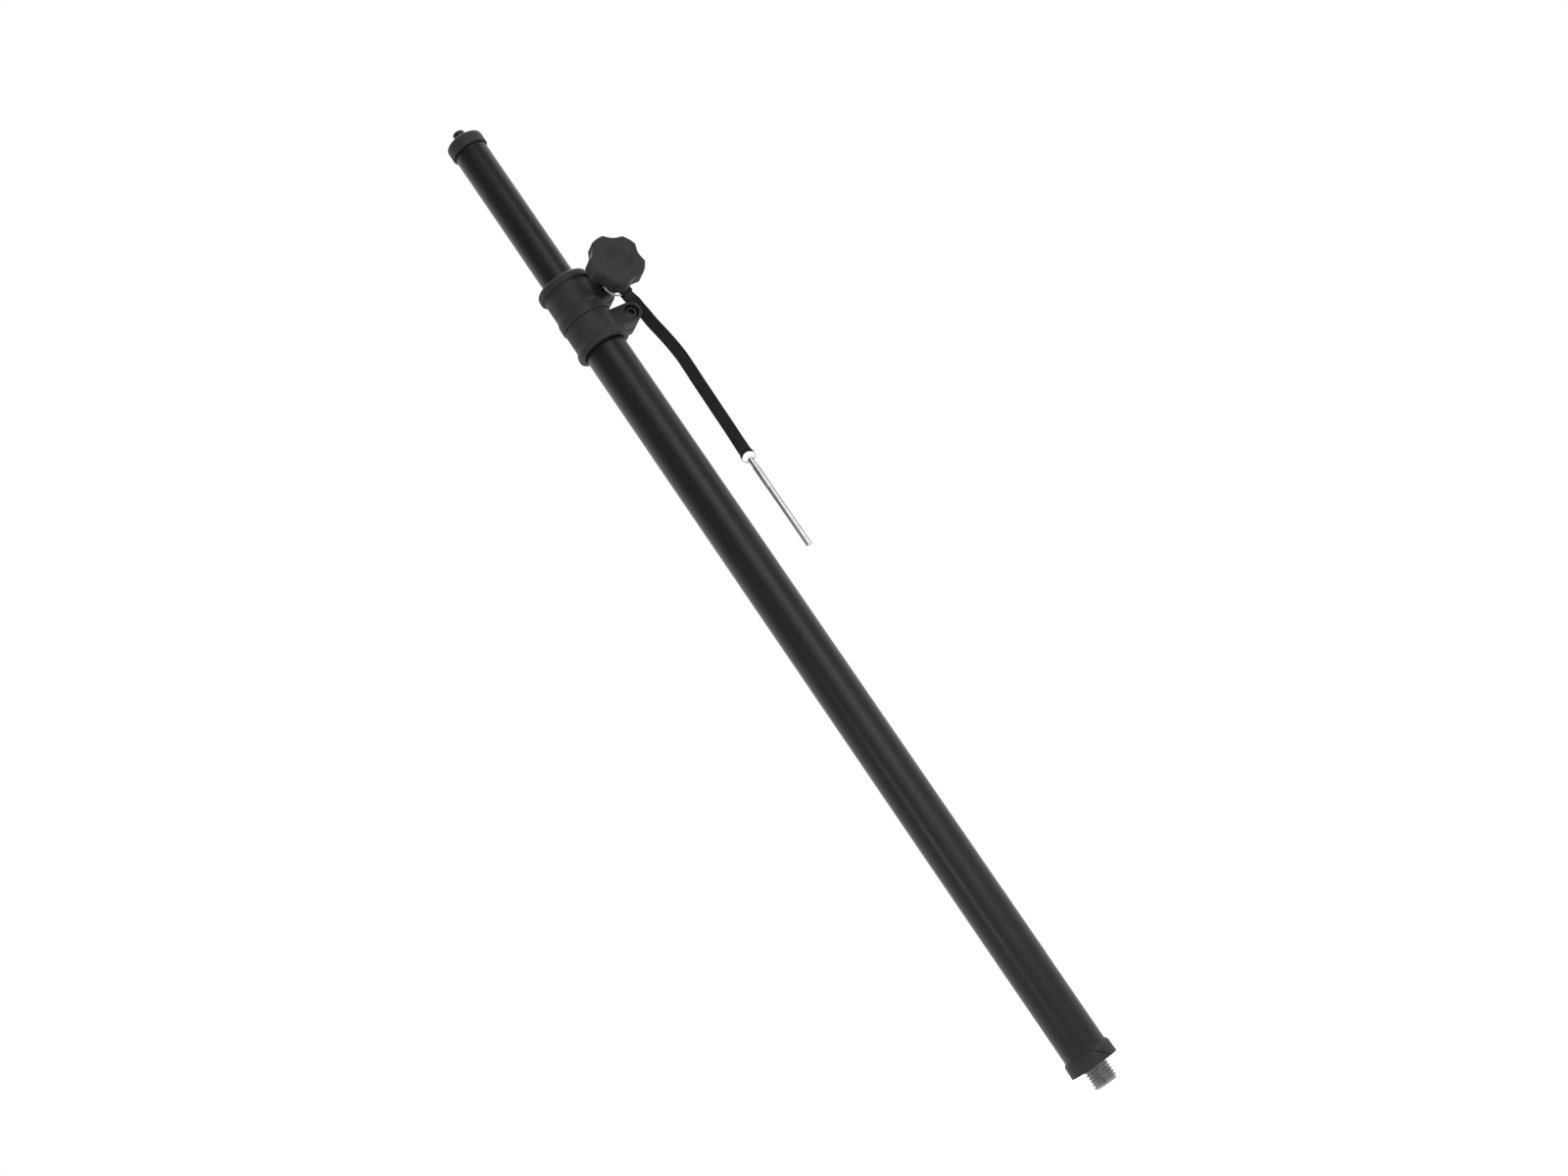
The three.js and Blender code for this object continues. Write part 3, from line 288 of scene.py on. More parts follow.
@cache
def edge_rub() -> NodeTree:
    """Builds the rub of handled edges: the wear attribute broken up by noise, with stray scuffs.

    Returns:
        The group.
    """
    sockets = [("Vector", VECTOR, None), ("Amount", FLOAT, 0.5), ("Scuffs", FLOAT, 0.2)]
    nodes, given, wanted = new_group("edge_rub", "ShaderNodeTree", sockets, [("Mask", FLOAT)])
    wear = nodes.add("ShaderNodeAttribute", attribute_name="wear").outputs["Fac"]
    chips = nodes.noise(given["Vector"], scale=260.0, detail=5.0, roughness=0.65)
    broken = nodes.spread(chips, low=0.38, high=0.68)
    rubbed = nodes.math("MULTIPLY", nodes.math("MULTIPLY", wear, broken), given["Amount"])
    stretch = nodes.add("ShaderNodeMapping", {"Vector": given["Vector"], "Scale": (1.0, 1.0, 0.12)})
    streaks = nodes.spread(nodes.noise(stretch.outputs[0], scale=420.0), low=0.70, high=0.78)
    scuffs = nodes.math("MULTIPLY", streaks, given["Scuffs"])
    nodes.feed(wanted["Mask"], nodes.math("MAXIMUM", rubbed, scuffs, clamp=True))
    return nodes.tree


@cache
def turning_lines() -> NodeTree:
    """Builds the fine rings that a lathe leaves, as a height along the piece's own axis.

    Returns:
        The group.
    """
    sockets = [("Distance", FLOAT, 0.0), ("Lines", FLOAT, 3500.0)]
    nodes, given, wanted = new_group("turning_lines", "ShaderNodeTree", sockets, [("Height", FLOAT)])
    count = nodes.math("MULTIPLY", given["Distance"], given["Lines"])
    line = nodes.add("ShaderNodeCombineXYZ", {0: count}).outputs[0]
    nodes.feed(wanted["Height"], nodes.noise(line, scale=1.0, detail=3.0, roughness=0.6))
    return nodes.tree


# Finishes


@dataclass(frozen=True)
class Finish:
    """One surface finish.

    Attributes:
        name: the material's name.
        slot: the record's slot for it.
        colour: its main colour, linear.
        roughness: its mean roughness.
        bump: the depth of its grain, in metres.
    """

    name: str
    slot: Slot
    colour: Colour
    roughness: float
    bump: float

    @cache
    def material(self) -> Material:
        """Builds the finish's material, only once.

        Returns:
            The material.
        """
        made = bpy.data.materials.new(self.name)
        nodes = fresh_nodes(made)
        shader = nodes.add("ShaderNodeBsdfPrincipled")
        nodes.add("ShaderNodeOutputMaterial", {"Surface": shader.outputs[0]})
        place = nodes.add("ShaderNodeTexCoord").outputs["Object"]
        self.dress(nodes, shader, place)
        return made

    def dress(self, nodes: Nodes, shader: Node, place: NodeSocket) -> None:
        """Sets the shader's sockets. Each finish has its own.

        Args:
            nodes: the material's nodes.
            shader: its Principled BSDF.
            place: the object coordinates.
        """
        raise NotImplementedError

    def grain(self, nodes: Nodes, place: NodeSocket, fine: float, patch: float) -> Node:
        """Returns the shared grain's node, by its grains and its patches in a metre."""
        values = {"Vector": place, "Grain Scale": fine, "Patch Scale": patch}
        return self.group(nodes, surface_grain(), values)

    def rub(self, nodes: Nodes, place: NodeSocket, edge_wear: float, scuffs: float) -> NodeSocket:
        """Returns the shared mask of rubbed places, by how strongly worn edges and stray scuffs show."""
        values = {"Vector": place, "Amount": edge_wear, "Scuffs": scuffs}
        return self.group(nodes, edge_rub(), values).outputs["Mask"]

    @staticmethod
    def group(nodes: Nodes, tree: NodeTree, inputs: dict[str, Any]) -> Node:
        """Places a shared group in the material.

        Args:
            nodes: the material's nodes.
            tree: the group.
            inputs: its values.

        Returns:
            The group's node.
        """
        node = nodes.add("ShaderNodeGroup", node_tree=tree)
        for name, value in inputs.items():
            nodes.feed(node.inputs[name], value)
        return node

    def relief(self, nodes: Nodes, shader: Node, height: NodeSocket) -> None:
        """Feeds a height, about from 0 to 1, to the shader's normal, as deep as the finish says."""
        bump = nodes.add("ShaderNodeBump", {"Strength": 1.0, "Distance": self.bump, "Height": height})
        nodes.feed(shader.inputs["Normal"], bump.outputs[0])


@dataclass(frozen=True)
class GrainedFinish(Finish):
    """A coated or moulded surface, with a fine grain, slow patches and paler rubbed places.

    Attributes:
        rubbed: the colour of a rubbed place.
        grain_scale: grains in a metre.
        patch_scale: patches in a metre, and patch_shade their colour as a share of the main one.
        smoother: what the patches take from the roughness, and rougher what they add to it.
        edge_wear: how strongly worn edges show, and scuffs how strongly stray scuffs do.
    """

    rubbed: Colour
    grain_scale: float
    patch_scale: float
    patch_shade: float
    smoother: float
    rougher: float
    edge_wear: float
    scuffs: float

    def dress(self, nodes: Nodes, shader: Node, place: NodeSocket) -> None:
        """Sets the shader's sockets from the arguments that Finish.dress names."""
        grain = self.grain(nodes, place, self.grain_scale, self.patch_scale)
        patches = grain.outputs["Patches"]
        rub = self.rub(nodes, place, self.edge_wear, self.scuffs)
        deep = tuple(self.patch_shade * value for value in self.colour)
        clean = nodes.mix(patches, self.colour, deep)
        nodes.feed(shader.inputs["Base Color"], nodes.mix(rub, clean, self.rubbed))
        low, high = self.roughness - self.smoother, self.roughness + self.rougher
        nodes.feed(shader.inputs["Roughness"], nodes.spread(patches, 0.0, 1.0, low, high))
        self.relief(nodes, shader, grain.outputs["Height"])


@dataclass(frozen=True)
class PowderCoat(GrainedFinish):
    """Satin powder coat on steel tube, with a faint orange peel and a few light scuffs."""

    rubbed: Colour = (0.03, 0.03, 0.031)
    grain_scale: float = 520.0
    patch_scale: float = 26.0
    patch_shade: float = 0.94
    smoother: float = 0.015
    rougher: float = 0.02
    edge_wear: float = 0.5
    scuffs: float = 0.06


@dataclass(frozen=True)
class MouldedPlastic(GrainedFinish):
    """Matt moulded plastic with a fine spark-eroded grain and paler rubbed edges."""

    rubbed: Colour = (0.05, 0.05, 0.052)
    grain_scale: float = 1500.0
    patch_scale: float = 90.0
    patch_shade: float = 0.88
    smoother: float = 0.05
    rougher: float = 0.05
    edge_wear: float = 0.4
    scuffs: float = 0.03


@dataclass(frozen=True)
class TurnedMetal(Finish):
    """Bare or plated metal with faint lathe rings round one axis of the piece.

    Attributes:
        stain: the colour of its duller patches.
        rings: lathe rings in a metre.
        along: which coordinate the rings are counted along, 1 for Y and 2 for Z.
        grain_scale: grains in a metre, and grain_share their height as a share of the rings' height.
        patch_scale: duller patches in a metre, and patch_share how far the stain covers one.
        patch_dulling: what a patch adds to the roughness, and rub_dulling what a rubbed place adds.
        edge_wear: how strongly worn edges show, and scuffs how strongly stray scuffs do.
    """

    stain: Colour = (0.2, 0.2, 0.2)
    rings: float = 3000.0
    along: int = 2
    grain_scale: float = 1800.0
    grain_share: float = 0.25
    patch_scale: float = 160.0
    patch_share: float = 0.55
    patch_dulling: float = 0.08
    rub_dulling: float = 0.12
    edge_wear: float = 0.3
    scuffs: float = 0.25

    def dress(self, nodes: Nodes, shader: Node, place: NodeSocket) -> None:
        """Sets the shader's sockets from the arguments that Finish.dress names."""
        shader.inputs["Metallic"].default_value = 1.0
        grain = self.grain(nodes, place, self.grain_scale, self.patch_scale)
        rub = self.rub(nodes, place, self.edge_wear, self.scuffs)
        axis = nodes.add("ShaderNodeSeparateXYZ", {0: place}).outputs[self.along]
        lathe = self.group(nodes, turning_lines(), {"Distance": axis, "Lines": self.rings})
        patches = nodes.math("MULTIPLY", grain.outputs["Patches"], self.patch_share)
        nodes.feed(shader.inputs["Base Color"], nodes.mix(patches, self.colour, self.stain))
        patch_dull = nodes.spread(patches, 0.0, self.patch_share, 0.0, self.patch_dulling)
        dull = nodes.math("MULTIPLY_ADD", rub, self.rub_dulling, patch_dull)
        nodes.feed(shader.inputs["Roughness"], nodes.math("ADD", dull, self.roughness))
        rings = lathe.outputs["Height"]
        height = nodes.math("MULTIPLY_ADD", grain.outputs["Height"], self.grain_share, rings)
        self.relief(nodes, shader, height)


@dataclass(frozen=True)
class Webbing(Finish):
    """Woven nylon webbing. Its yarns follow the strap's own UV map, whose unit is a metre.

    Attributes:
        pitch: the width of one yarn.
        slant: how far the yarns of a row lean, and row their length as a share of their width.
        shade: the painted shade put in the weave's low places between the yarns.
        paling: the colour of a pale patch as a share of the main colour, and pale_share how far it covers.
        fuzz_scale: stray fibres in a metre, and fuzz_share their height as a share of the weave's.
        sheen: the strength of the cloth's sheen, and gloss that of its plain reflection.
    """

    pitch: float = 0.0011
    slant: float = 0.6
    row: float = 0.8
    shade: Colour = (0.004, 0.004, 0.0045)
    paling: float = 1.45
    pale_share: float = 0.35
    fuzz_scale: float = 3200.0
    fuzz_share: float = 0.3
    sheen: float = 0.25
    sheen_roughness: float = 0.5
    gloss: float = 0.3

    def dress(self, nodes: Nodes, shader: Node, place: NodeSocket) -> None:
        """Sets the shader's sockets from the arguments that Finish.dress names."""
        shader.inputs["Sheen Weight"].default_value = self.sheen
        shader.inputs["Sheen Roughness"].default_value = self.sheen_roughness
        shader.inputs["Specular IOR Level"].default_value = self.gloss
        cloth = nodes.add("ShaderNodeUVMap", uv_map="strap").outputs[0]
        across, along, _ = nodes.add("ShaderNodeSeparateXYZ", {0: cloth}).outputs
        even_rows = self.yarn(nodes, across, along)
        odd_rows = self.yarn(nodes, nodes.math("ADD", across, self.pitch / 2), along)
        weave = nodes.math("MAXIMUM", even_rows, odd_rows)
        fuzz = nodes.noise(place, self.fuzz_scale, detail=3.0, roughness=0.7)
        patches = self.grain(nodes, place, fine=2500.0, patch=120.0).outputs["Patches"]
        # Painted shade: the weave's low places between the yarns take the darker shade colour.
        weave_with_painted_shade = nodes.mix(nodes.spread(weave, 0.15, 0.8), self.shade, self.colour)
        pale = tuple(self.paling * value for value in self.colour)
        colour = nodes.mix(nodes.math("MULTIPLY", patches, self.pale_share), weave_with_painted_shade, pale)
        nodes.feed(shader.inputs["Base Color"], colour)
        nodes.feed(shader.inputs["Roughness"], nodes.spread(fuzz, 0.2, 0.8, self.roughness - 0.08, 0.98))
        self.relief(nodes, shader, nodes.math("MULTIPLY_ADD", fuzz, self.fuzz_share, weave))

    def yarn(self, nodes: Nodes, across: Any, along: Any) -> NodeSocket:
        """Adds one set of slanted yarn crowns, as a herringbone of two sets makes.

        Args:
            nodes: the material's nodes.
            across: the place across the strap, in metres.
            along: the place along the strap, in metres.

        Returns:
            The crowns' height, from 0 to 1.
        """
        columns = nodes.math("DIVIDE", across, self.pitch)
        zigzag = nodes.math("PINGPONG", columns, 1.0)
        rows_along = nodes.math("DIVIDE", along, self.pitch * self.row)
        rows = nodes.math("MULTIPLY_ADD", zigzag, self.slant, rows_along)
        ridge = nodes.math("SINE", nodes.math("MULTIPLY", rows, 2 * math.pi))
        ribs = nodes.math("SINE", nodes.math("MULTIPLY", columns, math.pi))
        rib_height = nodes.math("ABSOLUTE", ribs)
        return nodes.math("MULTIPLY", nodes.math("MULTIPLY_ADD", ridge, 0.3, 0.7), rib_height)


class Finishes:
    """The pole's finishes."""

    COAT = PowderCoat(
        "satin_black_coat", Slot.COAT, colour=(0.0088, 0.0088, 0.0093), roughness=0.33, bump=0.000004
    )
    MOULDED = MouldedPlastic(
        "dark_grey_moulding", Slot.MOULDED, colour=(0.0275, 0.0275, 0.0284), roughness=0.56, bump=0.000016
    )
    SLIDE = MouldedPlastic(
        "black_slide_plastic", Slot.SLIDE, colour=(0.011, 0.011, 0.0115), roughness=0.45, bump=0.00001
    )
    WEBBING = Webbing(
        "black_webbing", Slot.WEBBING, colour=(0.014, 0.014, 0.0148), roughness=0.86, bump=0.00018
    )
    THREAD = MouldedPlastic(
        "sewing_thread", Slot.WEBBING, colour=(0.013, 0.013, 0.014), roughness=0.7, bump=0.00002,
        grain_scale=4000.0,
    )
    STEEL = TurnedMetal(
        "dull_turned_steel", Slot.STEEL, colour=(0.42, 0.42, 0.425), roughness=0.32, bump=0.000006,
        stain=(0.24, 0.24, 0.24),
    )
    BOLT_STEEL = TurnedMetal(
        "blackened_bolt_steel", Slot.STEEL, colour=(0.09, 0.09, 0.093), roughness=0.34, bump=0.000005,
        stain=(0.05, 0.05, 0.05), along=1,
    )
    CHROME = TurnedMetal(
        "bright_plating", Slot.CHROME, colour=(0.86, 0.86, 0.87), roughness=0.16, bump=0.000003,
        stain=(0.68, 0.68, 0.69),
    )


# Turned and moulded meshes


@dataclass(frozen=True)
class Station:
    """One point of a turned outline.

    Attributes:
        radius: its distance from the axis.
        height: its place along the axis.
        fillet: the radius that rounds it, where it is a corner.
        wear: how far it is rubbed, from 0 to 1.
        cut: how far a thread or a lobe's scallop reaches it, from 0 to 1.
    """

    radius: float
    height: float
    fillet: float = 0.0
    wear: float = 0.0
    cut: float = 0.0


def filleted(corners: Sequence[Station], steps: int = FILLET_STEPS) -> list[Station]:
    """Rounds the corners of a closed outline.

    Args:
        corners: the outline's corners in order.
        steps: facets in each rounded corner.

    Returns:
        The outline, with an arc for each corner that has a fillet.
    """
    outline: list[Station] = []
    for index, corner in enumerate(corners):
        if corner.fillet <= 0.0:
            outline.append(corner)
            continue
        here = Vector((corner.radius, corner.height))
        before, after = corners[index - 1], corners[(index + 1) % len(corners)]
        back = (Vector((before.radius, before.height)) - here).normalized()
        ahead = (Vector((after.radius, after.height)) - here).normalized()
        half = math.acos(max(-1.0, min(1.0, back.dot(ahead)))) / 2
        centre = here + (back + ahead).normalized() * (corner.fillet / math.sin(half))
        inset = corner.fillet / math.tan(half)
        start = here + back * inset - centre
        turn = (here + ahead * inset - centre).angle_signed(start)
        for step in range(steps + 1):
            share = step / steps
            arc = Matrix.Rotation(turn * share, 2) @ start + centre
            rub = FILLET_END_WEAR + (1 - FILLET_END_WEAR) * math.sin(math.pi * share)
            outline.append(Station(arc.x, arc.y, 0.0, rub, corner.cut))
    return outline


def threaded(radius: float, low: float, high: float, pitch: float, rows: int = 14) -> list[Station]:
    """Makes the close rows that a thread needs between two heights.

    Args:
        radius: the thread's outer radius.
        low: where it starts.
        high: where it ends.
        pitch: its pitch.
        rows: rows in each pitch.

    Returns:
        The rows, in order from low to high.
    """
    count = max(2, math.ceil(abs(high - low) / pitch * rows))
    heights = np.linspace(low, high, count + 1)
    return [Station(radius, float(height), wear=THREAD_WEAR, cut=1.0) for height in heights]


def edged(mesh: Mesh) -> Mesh:
    """Returns a mesh after shading it smooth but for its sharp edges."""
    mesh.shade_smooth()
    mesh.set_sharp_from_angle(angle=SHARP_ANGLE)
    return mesh


def write_marks(mesh: Mesh, label: str, marks: Sequence[float]) -> None:
    """Writes one number for each vertex, as an attribute of the mesh."""
    attribute = mesh.attributes.new(label, "FLOAT", "POINT")
    attribute.data.foreach_set("value", np.array(marks, np.float32))


def mesh_from(name: str, points: np.ndarray, faces: Iterable[Sequence[int]]) -> Mesh:
    """Makes a mesh of points and faces, smooth but for its sharp edges.

    Args:
        name: its name.
        points: its vertices, one a row.
        faces: its faces as vertex numbers, anticlockwise from outside.

    Returns:
        The mesh.
    """
    mesh = bpy.data.meshes.new(name)
    mesh.from_pydata([tuple(point) for point in points], [], [tuple(face) for face in faces])
    return edged(mesh)


def turned(name: str, outline: Sequence[Station], sides: int = ROUND_SIDES) -> Mesh:
    """Turns an outline round the Z axis into a closed mesh, with its wear and cut as attributes.

    Args:
        name: the mesh's name.
        outline: its stations, anticlockwise with the axis on the left. The last joins the first.
        sides: facets round the axis.

    Returns:
        The mesh.
    """
    angles = np.arange(sides) * (2 * math.pi / sides)
    circle = np.stack([np.cos(angles), np.sin(angles), np.zeros(sides)], 1)
    points: list[np.ndarray] = []
    rings: list[list[int]] = []
    marks: list[tuple[float, float]] = []
    total = 0
    for station in outline:
        count = 1 if station.radius < AXIS_LIMIT else sides
        ring = circle[:count] * (0.0 if count == 1 else station.radius) + (0.0, 0.0, station.height)
        points.append(ring)
        rings.append([total + (side if count > 1 else 0) for side in range(sides)])
        marks.extend([(station.wear, station.cut)] * count)
        total += count
    faces: list[tuple[int, ...]] = []
    for low, high in zip(rings, rings[1:] + rings[:1]):
        for side in range(sides):
            after = (side + 1) % sides
            corners = dict.fromkeys((low[side], low[after], high[after], high[side]))
            if len(corners) > 2:
                faces.append(tuple(corners))
    mesh = mesh_from(name, np.concatenate(points), faces)
    for place, label in enumerate(("wear", "cut")):
        write_marks(mesh, label, [mark[place] for mark in marks])
    return mesh


def prism(name: str, outline: Sequence[Vector], low: float, high: float) -> Mesh:
    """Makes a straight-sided solid of an outline in X and Y.

    Args:
        name: the mesh's name.
        outline: its corners, anticlockwise.
        low: its lower height.
        high: its upper height.

    Returns:
        The mesh.
    """
    count = len(outline)
    points = [(point.x, point.y, height) for height in (low, high) for point in outline]
    sides = [(side, (side + 1) % count, (side + 1) % count + count, side + count) for side in range(count)]
    ends = [tuple(reversed(range(count))), tuple(range(count, 2 * count))]
    return mesh_from(name, np.array(points), [*sides, *ends])


def rounded_outline(corners: Sequence[Station]) -> list[Vector]:
    """Returns the points of an outline of rounded corners, where radius is X and height is Y."""
    return [Vector((station.radius, station.height)) for station in filleted(corners, 2 * FILLET_STEPS)]


def hexagon(width: float) -> list[Vector]:
    """Returns the corners of a hexagon with flat sides towards +X and -X, by its width across them."""
    angles = [math.radians(30 + 60 * corner) for corner in range(6)]
    return [Vector((math.cos(angle), math.sin(angle))) * (width / math.sqrt(3)) for angle in angles]


def temporary(mesh: Mesh) -> Object:
    """Puts a mesh on a new object in the scene, and returns the object."""
    made = bpy.data.objects.new(mesh.name, mesh)
    bpy.context.scene.collection.objects.link(made)
    return made


def baked(carrier: Object) -> Mesh:
    """Turns an object with modifiers into a plain mesh, and removes the object.

    Args:
        carrier: the object.

    Returns:
        The mesh that its modifiers make.
    """
    bpy.context.view_layer.update()
    graph = bpy.context.evaluated_depsgraph_get()
    source = carrier.evaluated_get(graph)
    mesh = bpy.data.meshes.new_from_object(source, preserve_all_data_layers=True, depsgraph=graph)
    mesh.name = carrier.name
    bpy.data.objects.remove(carrier)
    return mesh


def carved(base: Mesh, joined: Meshes, cuts: Meshes, bounds: Meshes = ()) -> Mesh:
    """Joins solids to a base solid, keeps what lies in others, and then cuts others from it.

    Args:
        base: the solid to start from.
        joined: solids to add.
        cuts: solids to take away.
        bounds: solids that the result stays inside.

    Returns:
        The result.
    """
    carrier = temporary(base)
    tools = []
    for operation, meshes in (("UNION", joined), ("INTERSECT", bounds), ("DIFFERENCE", cuts)):
        for mesh in meshes:
            tool = temporary(mesh)
            tools.append(tool)
            modifier = carrier.modifiers.new("carve", "BOOLEAN")
            modifier.operation = operation
            modifier.solver = "MANIFOLD"
            modifier.object = tool
    result = baked(carrier)
    for tool in tools:
        bpy.data.objects.remove(tool)
    return edged(result)


def moulded(solid: Mesh, voxel: float, smoothing: int) -> Mesh:
    """Softens every edge of a solid as moulding does, and marks its edges as worn.

    Args:
        solid: the sharp solid.
        voxel: the size of the new mesh's faces.
        smoothing: rounds of smoothing.

    Returns:
        The softened mesh.
    """
    carrier = temporary(solid)
    remesh = carrier.modifiers.new("even", "REMESH")
    remesh.mode = "VOXEL"
    remesh.voxel_size = voxel
    smooth = carrier.modifiers.new("soft", "SMOOTH")
    smooth.factor = 0.5
    smooth.iterations = smoothing
    result = baked(carrier)
    result.shade_smooth()
    mark_edges(result, voxel)
    return result


def mark_edges(mesh: Mesh, length: float) -> None:
    """Writes the wear attribute of an evenly divided mesh from how sharply it bends outwards.

    Args:
        mesh: the mesh.
        length: the usual length of its edges.
    """
    count = len(mesh.vertices)
    places = np.zeros(count * 3)
    mesh.vertices.foreach_get("co", places)
    places = places.reshape(-1, 3)
    normals = np.zeros(count * 3, np.float32)
    mesh.vertex_normals.foreach_get("vector", normals)
    edges = np.zeros(len(mesh.edges) * 2, int)
    mesh.edges.foreach_get("vertices", edges)
    first, second = edges.reshape(-1, 2).T
    total = np.zeros_like(places)
    beside = np.zeros(count)
    for here, there in ((first, second), (second, first)):
        np.add.at(total, here, places[there])
        np.add.at(beside, here, 1)
    bend = places - total / np.maximum(beside, 1)[:, None]
    outward = np.einsum("ij,ij->i", bend, normals.reshape(-1, 3)) / length
    wear = np.clip((outward - WEAR_START) / WEAR_SPAN, 0.0, 1.0)
    write_marks(mesh, "wear", wear)


# Geometry node trees


def with_tree(mesh: Mesh, tree: NodeTree, values: dict[str, Any]) -> Mesh:
    """Runs a geometry node tree on a mesh.

    Args:
        mesh: the mesh that goes in.
        tree: the tree.
        values: its inputs by name.

    Returns:
        The mesh that comes out.
    """
    carrier = temporary(mesh)
    modifier = carrier.modifiers.new("nodes", "NODES")
    modifier.node_group = tree
    for item in tree.interface.items_tree:
        if item.item_type == "SOCKET" and item.in_out == "INPUT" and item.name in values:
            modifier[item.identifier] = values[item.name]
    return baked(carrier)


def new_shape_tree(name: str, sizes: Sequence[tuple[str, str, Any]]) -> tuple[Nodes, Sockets, Sockets]:
    """Starts a geometry tree, as new_group does, that takes a shape, a material and the named sizes."""
    inputs = [("Geometry", GEOMETRY, None), ("Material", MATERIAL, None), *sizes]
    return new_group(name, "GeometryNodeTree", inputs, [("Geometry", GEOMETRY)])


def polar(nodes: Nodes) -> tuple[NodeSocket, ...]:
    """Adds the place of each vertex.

    Args:
        nodes: the tree's nodes.

    Returns:
        Its X, Y and Z, and its distance from the Z axis.
    """
    position = nodes.add("GeometryNodeInputPosition").outputs[0]
    x, y, z = nodes.add("ShaderNodeSeparateXYZ", {0: position}).outputs
    squares = nodes.math("MULTIPLY_ADD", x, x, nodes.math("MULTIPLY", y, y))
    return x, y, z, nodes.math("MAXIMUM", nodes.math("SQRT", squares), AXIS_LIMIT)


def set_radius(
    nodes: Nodes, given: Sockets, wanted: Sockets, place: tuple, radius: NodeSocket
) -> None:
    """Ends a tree that moves each marked vertex of a turned mesh to a new distance from the axis.

    Args:
        nodes: the tree's nodes.
        given: its inputs.
        wanted: its outputs.
        place: what polar returned.
        radius: the new distance where the mark is 1.
    """
    x, y, z, old = place
    mark = nodes.add("GeometryNodeInputNamedAttribute", {"Name": "cut"}, data_type="FLOAT").outputs[0]
    change = nodes.math("MULTIPLY", nodes.math("SUBTRACT", radius, old), mark)
    scale = nodes.math("DIVIDE", nodes.math("ADD", old, change), old)
    flat = [nodes.math("MULTIPLY", axis, scale) for axis in (x, y)]
    moved = nodes.add("ShaderNodeCombineXYZ", {0: flat[0], 1: flat[1], 2: z}).outputs[0]
    shaped = nodes.add("GeometryNodeSetPosition", {"Geometry": given["Geometry"], "Position": moved})
    finish_tree(nodes, given, wanted, shaped.outputs[0])


def finish_tree(nodes: Nodes, given: Sockets, wanted: Sockets, shape: NodeSocket) -> None:
    """Ends a tree with Realize Instances and Set Material.

    Args:
        nodes: the tree's nodes.
        given: its inputs.
        wanted: its outputs.
        shape: the geometry so far.
    """
    real = nodes.add("GeometryNodeRealizeInstances", {0: shape}).outputs[0]
    dressed = nodes.add("GeometryNodeSetMaterial", {"Geometry": real, "Material": given["Material"]})
    nodes.feed(wanted["Geometry"], dressed.outputs[0])


@cache
def screw_thread() -> NodeTree:
    """Builds the tree that cuts a right-handed thread into a turned rod.

    Returns:
        The tree.
    """
    nodes, given, wanted = new_shape_tree("screw_thread", [
        ("Radius", FLOAT, 0.01), ("Depth", FLOAT, 0.0015), ("Pitch", FLOAT, 0.0025),
        ("Root Share", FLOAT, 0.22), ("Crest Share", FLOAT, 0.86),
    ])
    place = polar(nodes)
    turn = nodes.math("DIVIDE", nodes.math("ARCTAN2", place[1], place[0]), 2 * math.pi)
    turns = nodes.math("SUBTRACT", nodes.math("DIVIDE", place[2], given["Pitch"]), turn)
    wave = nodes.math("ABSOLUTE", nodes.math("MULTIPLY_ADD", nodes.math("FRACT", turns), 2.0, -1.0))
    rise = nodes.math("SUBTRACT", wave, given["Root Share"])
    run = nodes.math("SUBTRACT", given["Crest Share"], given["Root Share"])
    crest = nodes.math("DIVIDE", rise, run, clamp=True)
    hollow = nodes.math("MULTIPLY", nodes.math("SUBTRACT", 1.0, crest), given["Depth"])
    flank = nodes.math("SUBTRACT", given["Radius"], hollow)
    set_radius(nodes, given, wanted, place, nodes.math("MINIMUM", flank, place[3]))
    return nodes.tree


@cache
def lobed_outline() -> NodeTree:
    """Builds the tree that draws scallops into a turned knob.

    Returns:
        The tree.
    """
    nodes, given, wanted = new_shape_tree("lobed_outline", [
        ("Lobes", FLOAT, 5.0), ("Depth", FLOAT, 0.0032), ("Turn", FLOAT, 0.0), ("Scallop Share", FLOAT, 0.29),
    ])
    place = polar(nodes)
    angle = nodes.math("SUBTRACT", nodes.math("ARCTAN2", place[0], place[1]), given["Turn"])
    turns = nodes.math("DIVIDE", nodes.math("MULTIPLY", angle, given["Lobes"]), 2 * math.pi)
    beside = nodes.math("SUBTRACT", nodes.math("FRACT", nodes.math("ADD", turns, 0.5)), 0.5)
    share = nodes.math("DIVIDE", beside, given["Scallop Share"])
    hollow = nodes.math("SUBTRACT", 1.0, nodes.math("MULTIPLY", share, share), clamp=True)
    drawn_in = nodes.math("SUBTRACT", place[3], nodes.math("MULTIPLY", hollow, given["Depth"]))
    set_radius(nodes, given, wanted, place, drawn_in)
    return nodes.tree


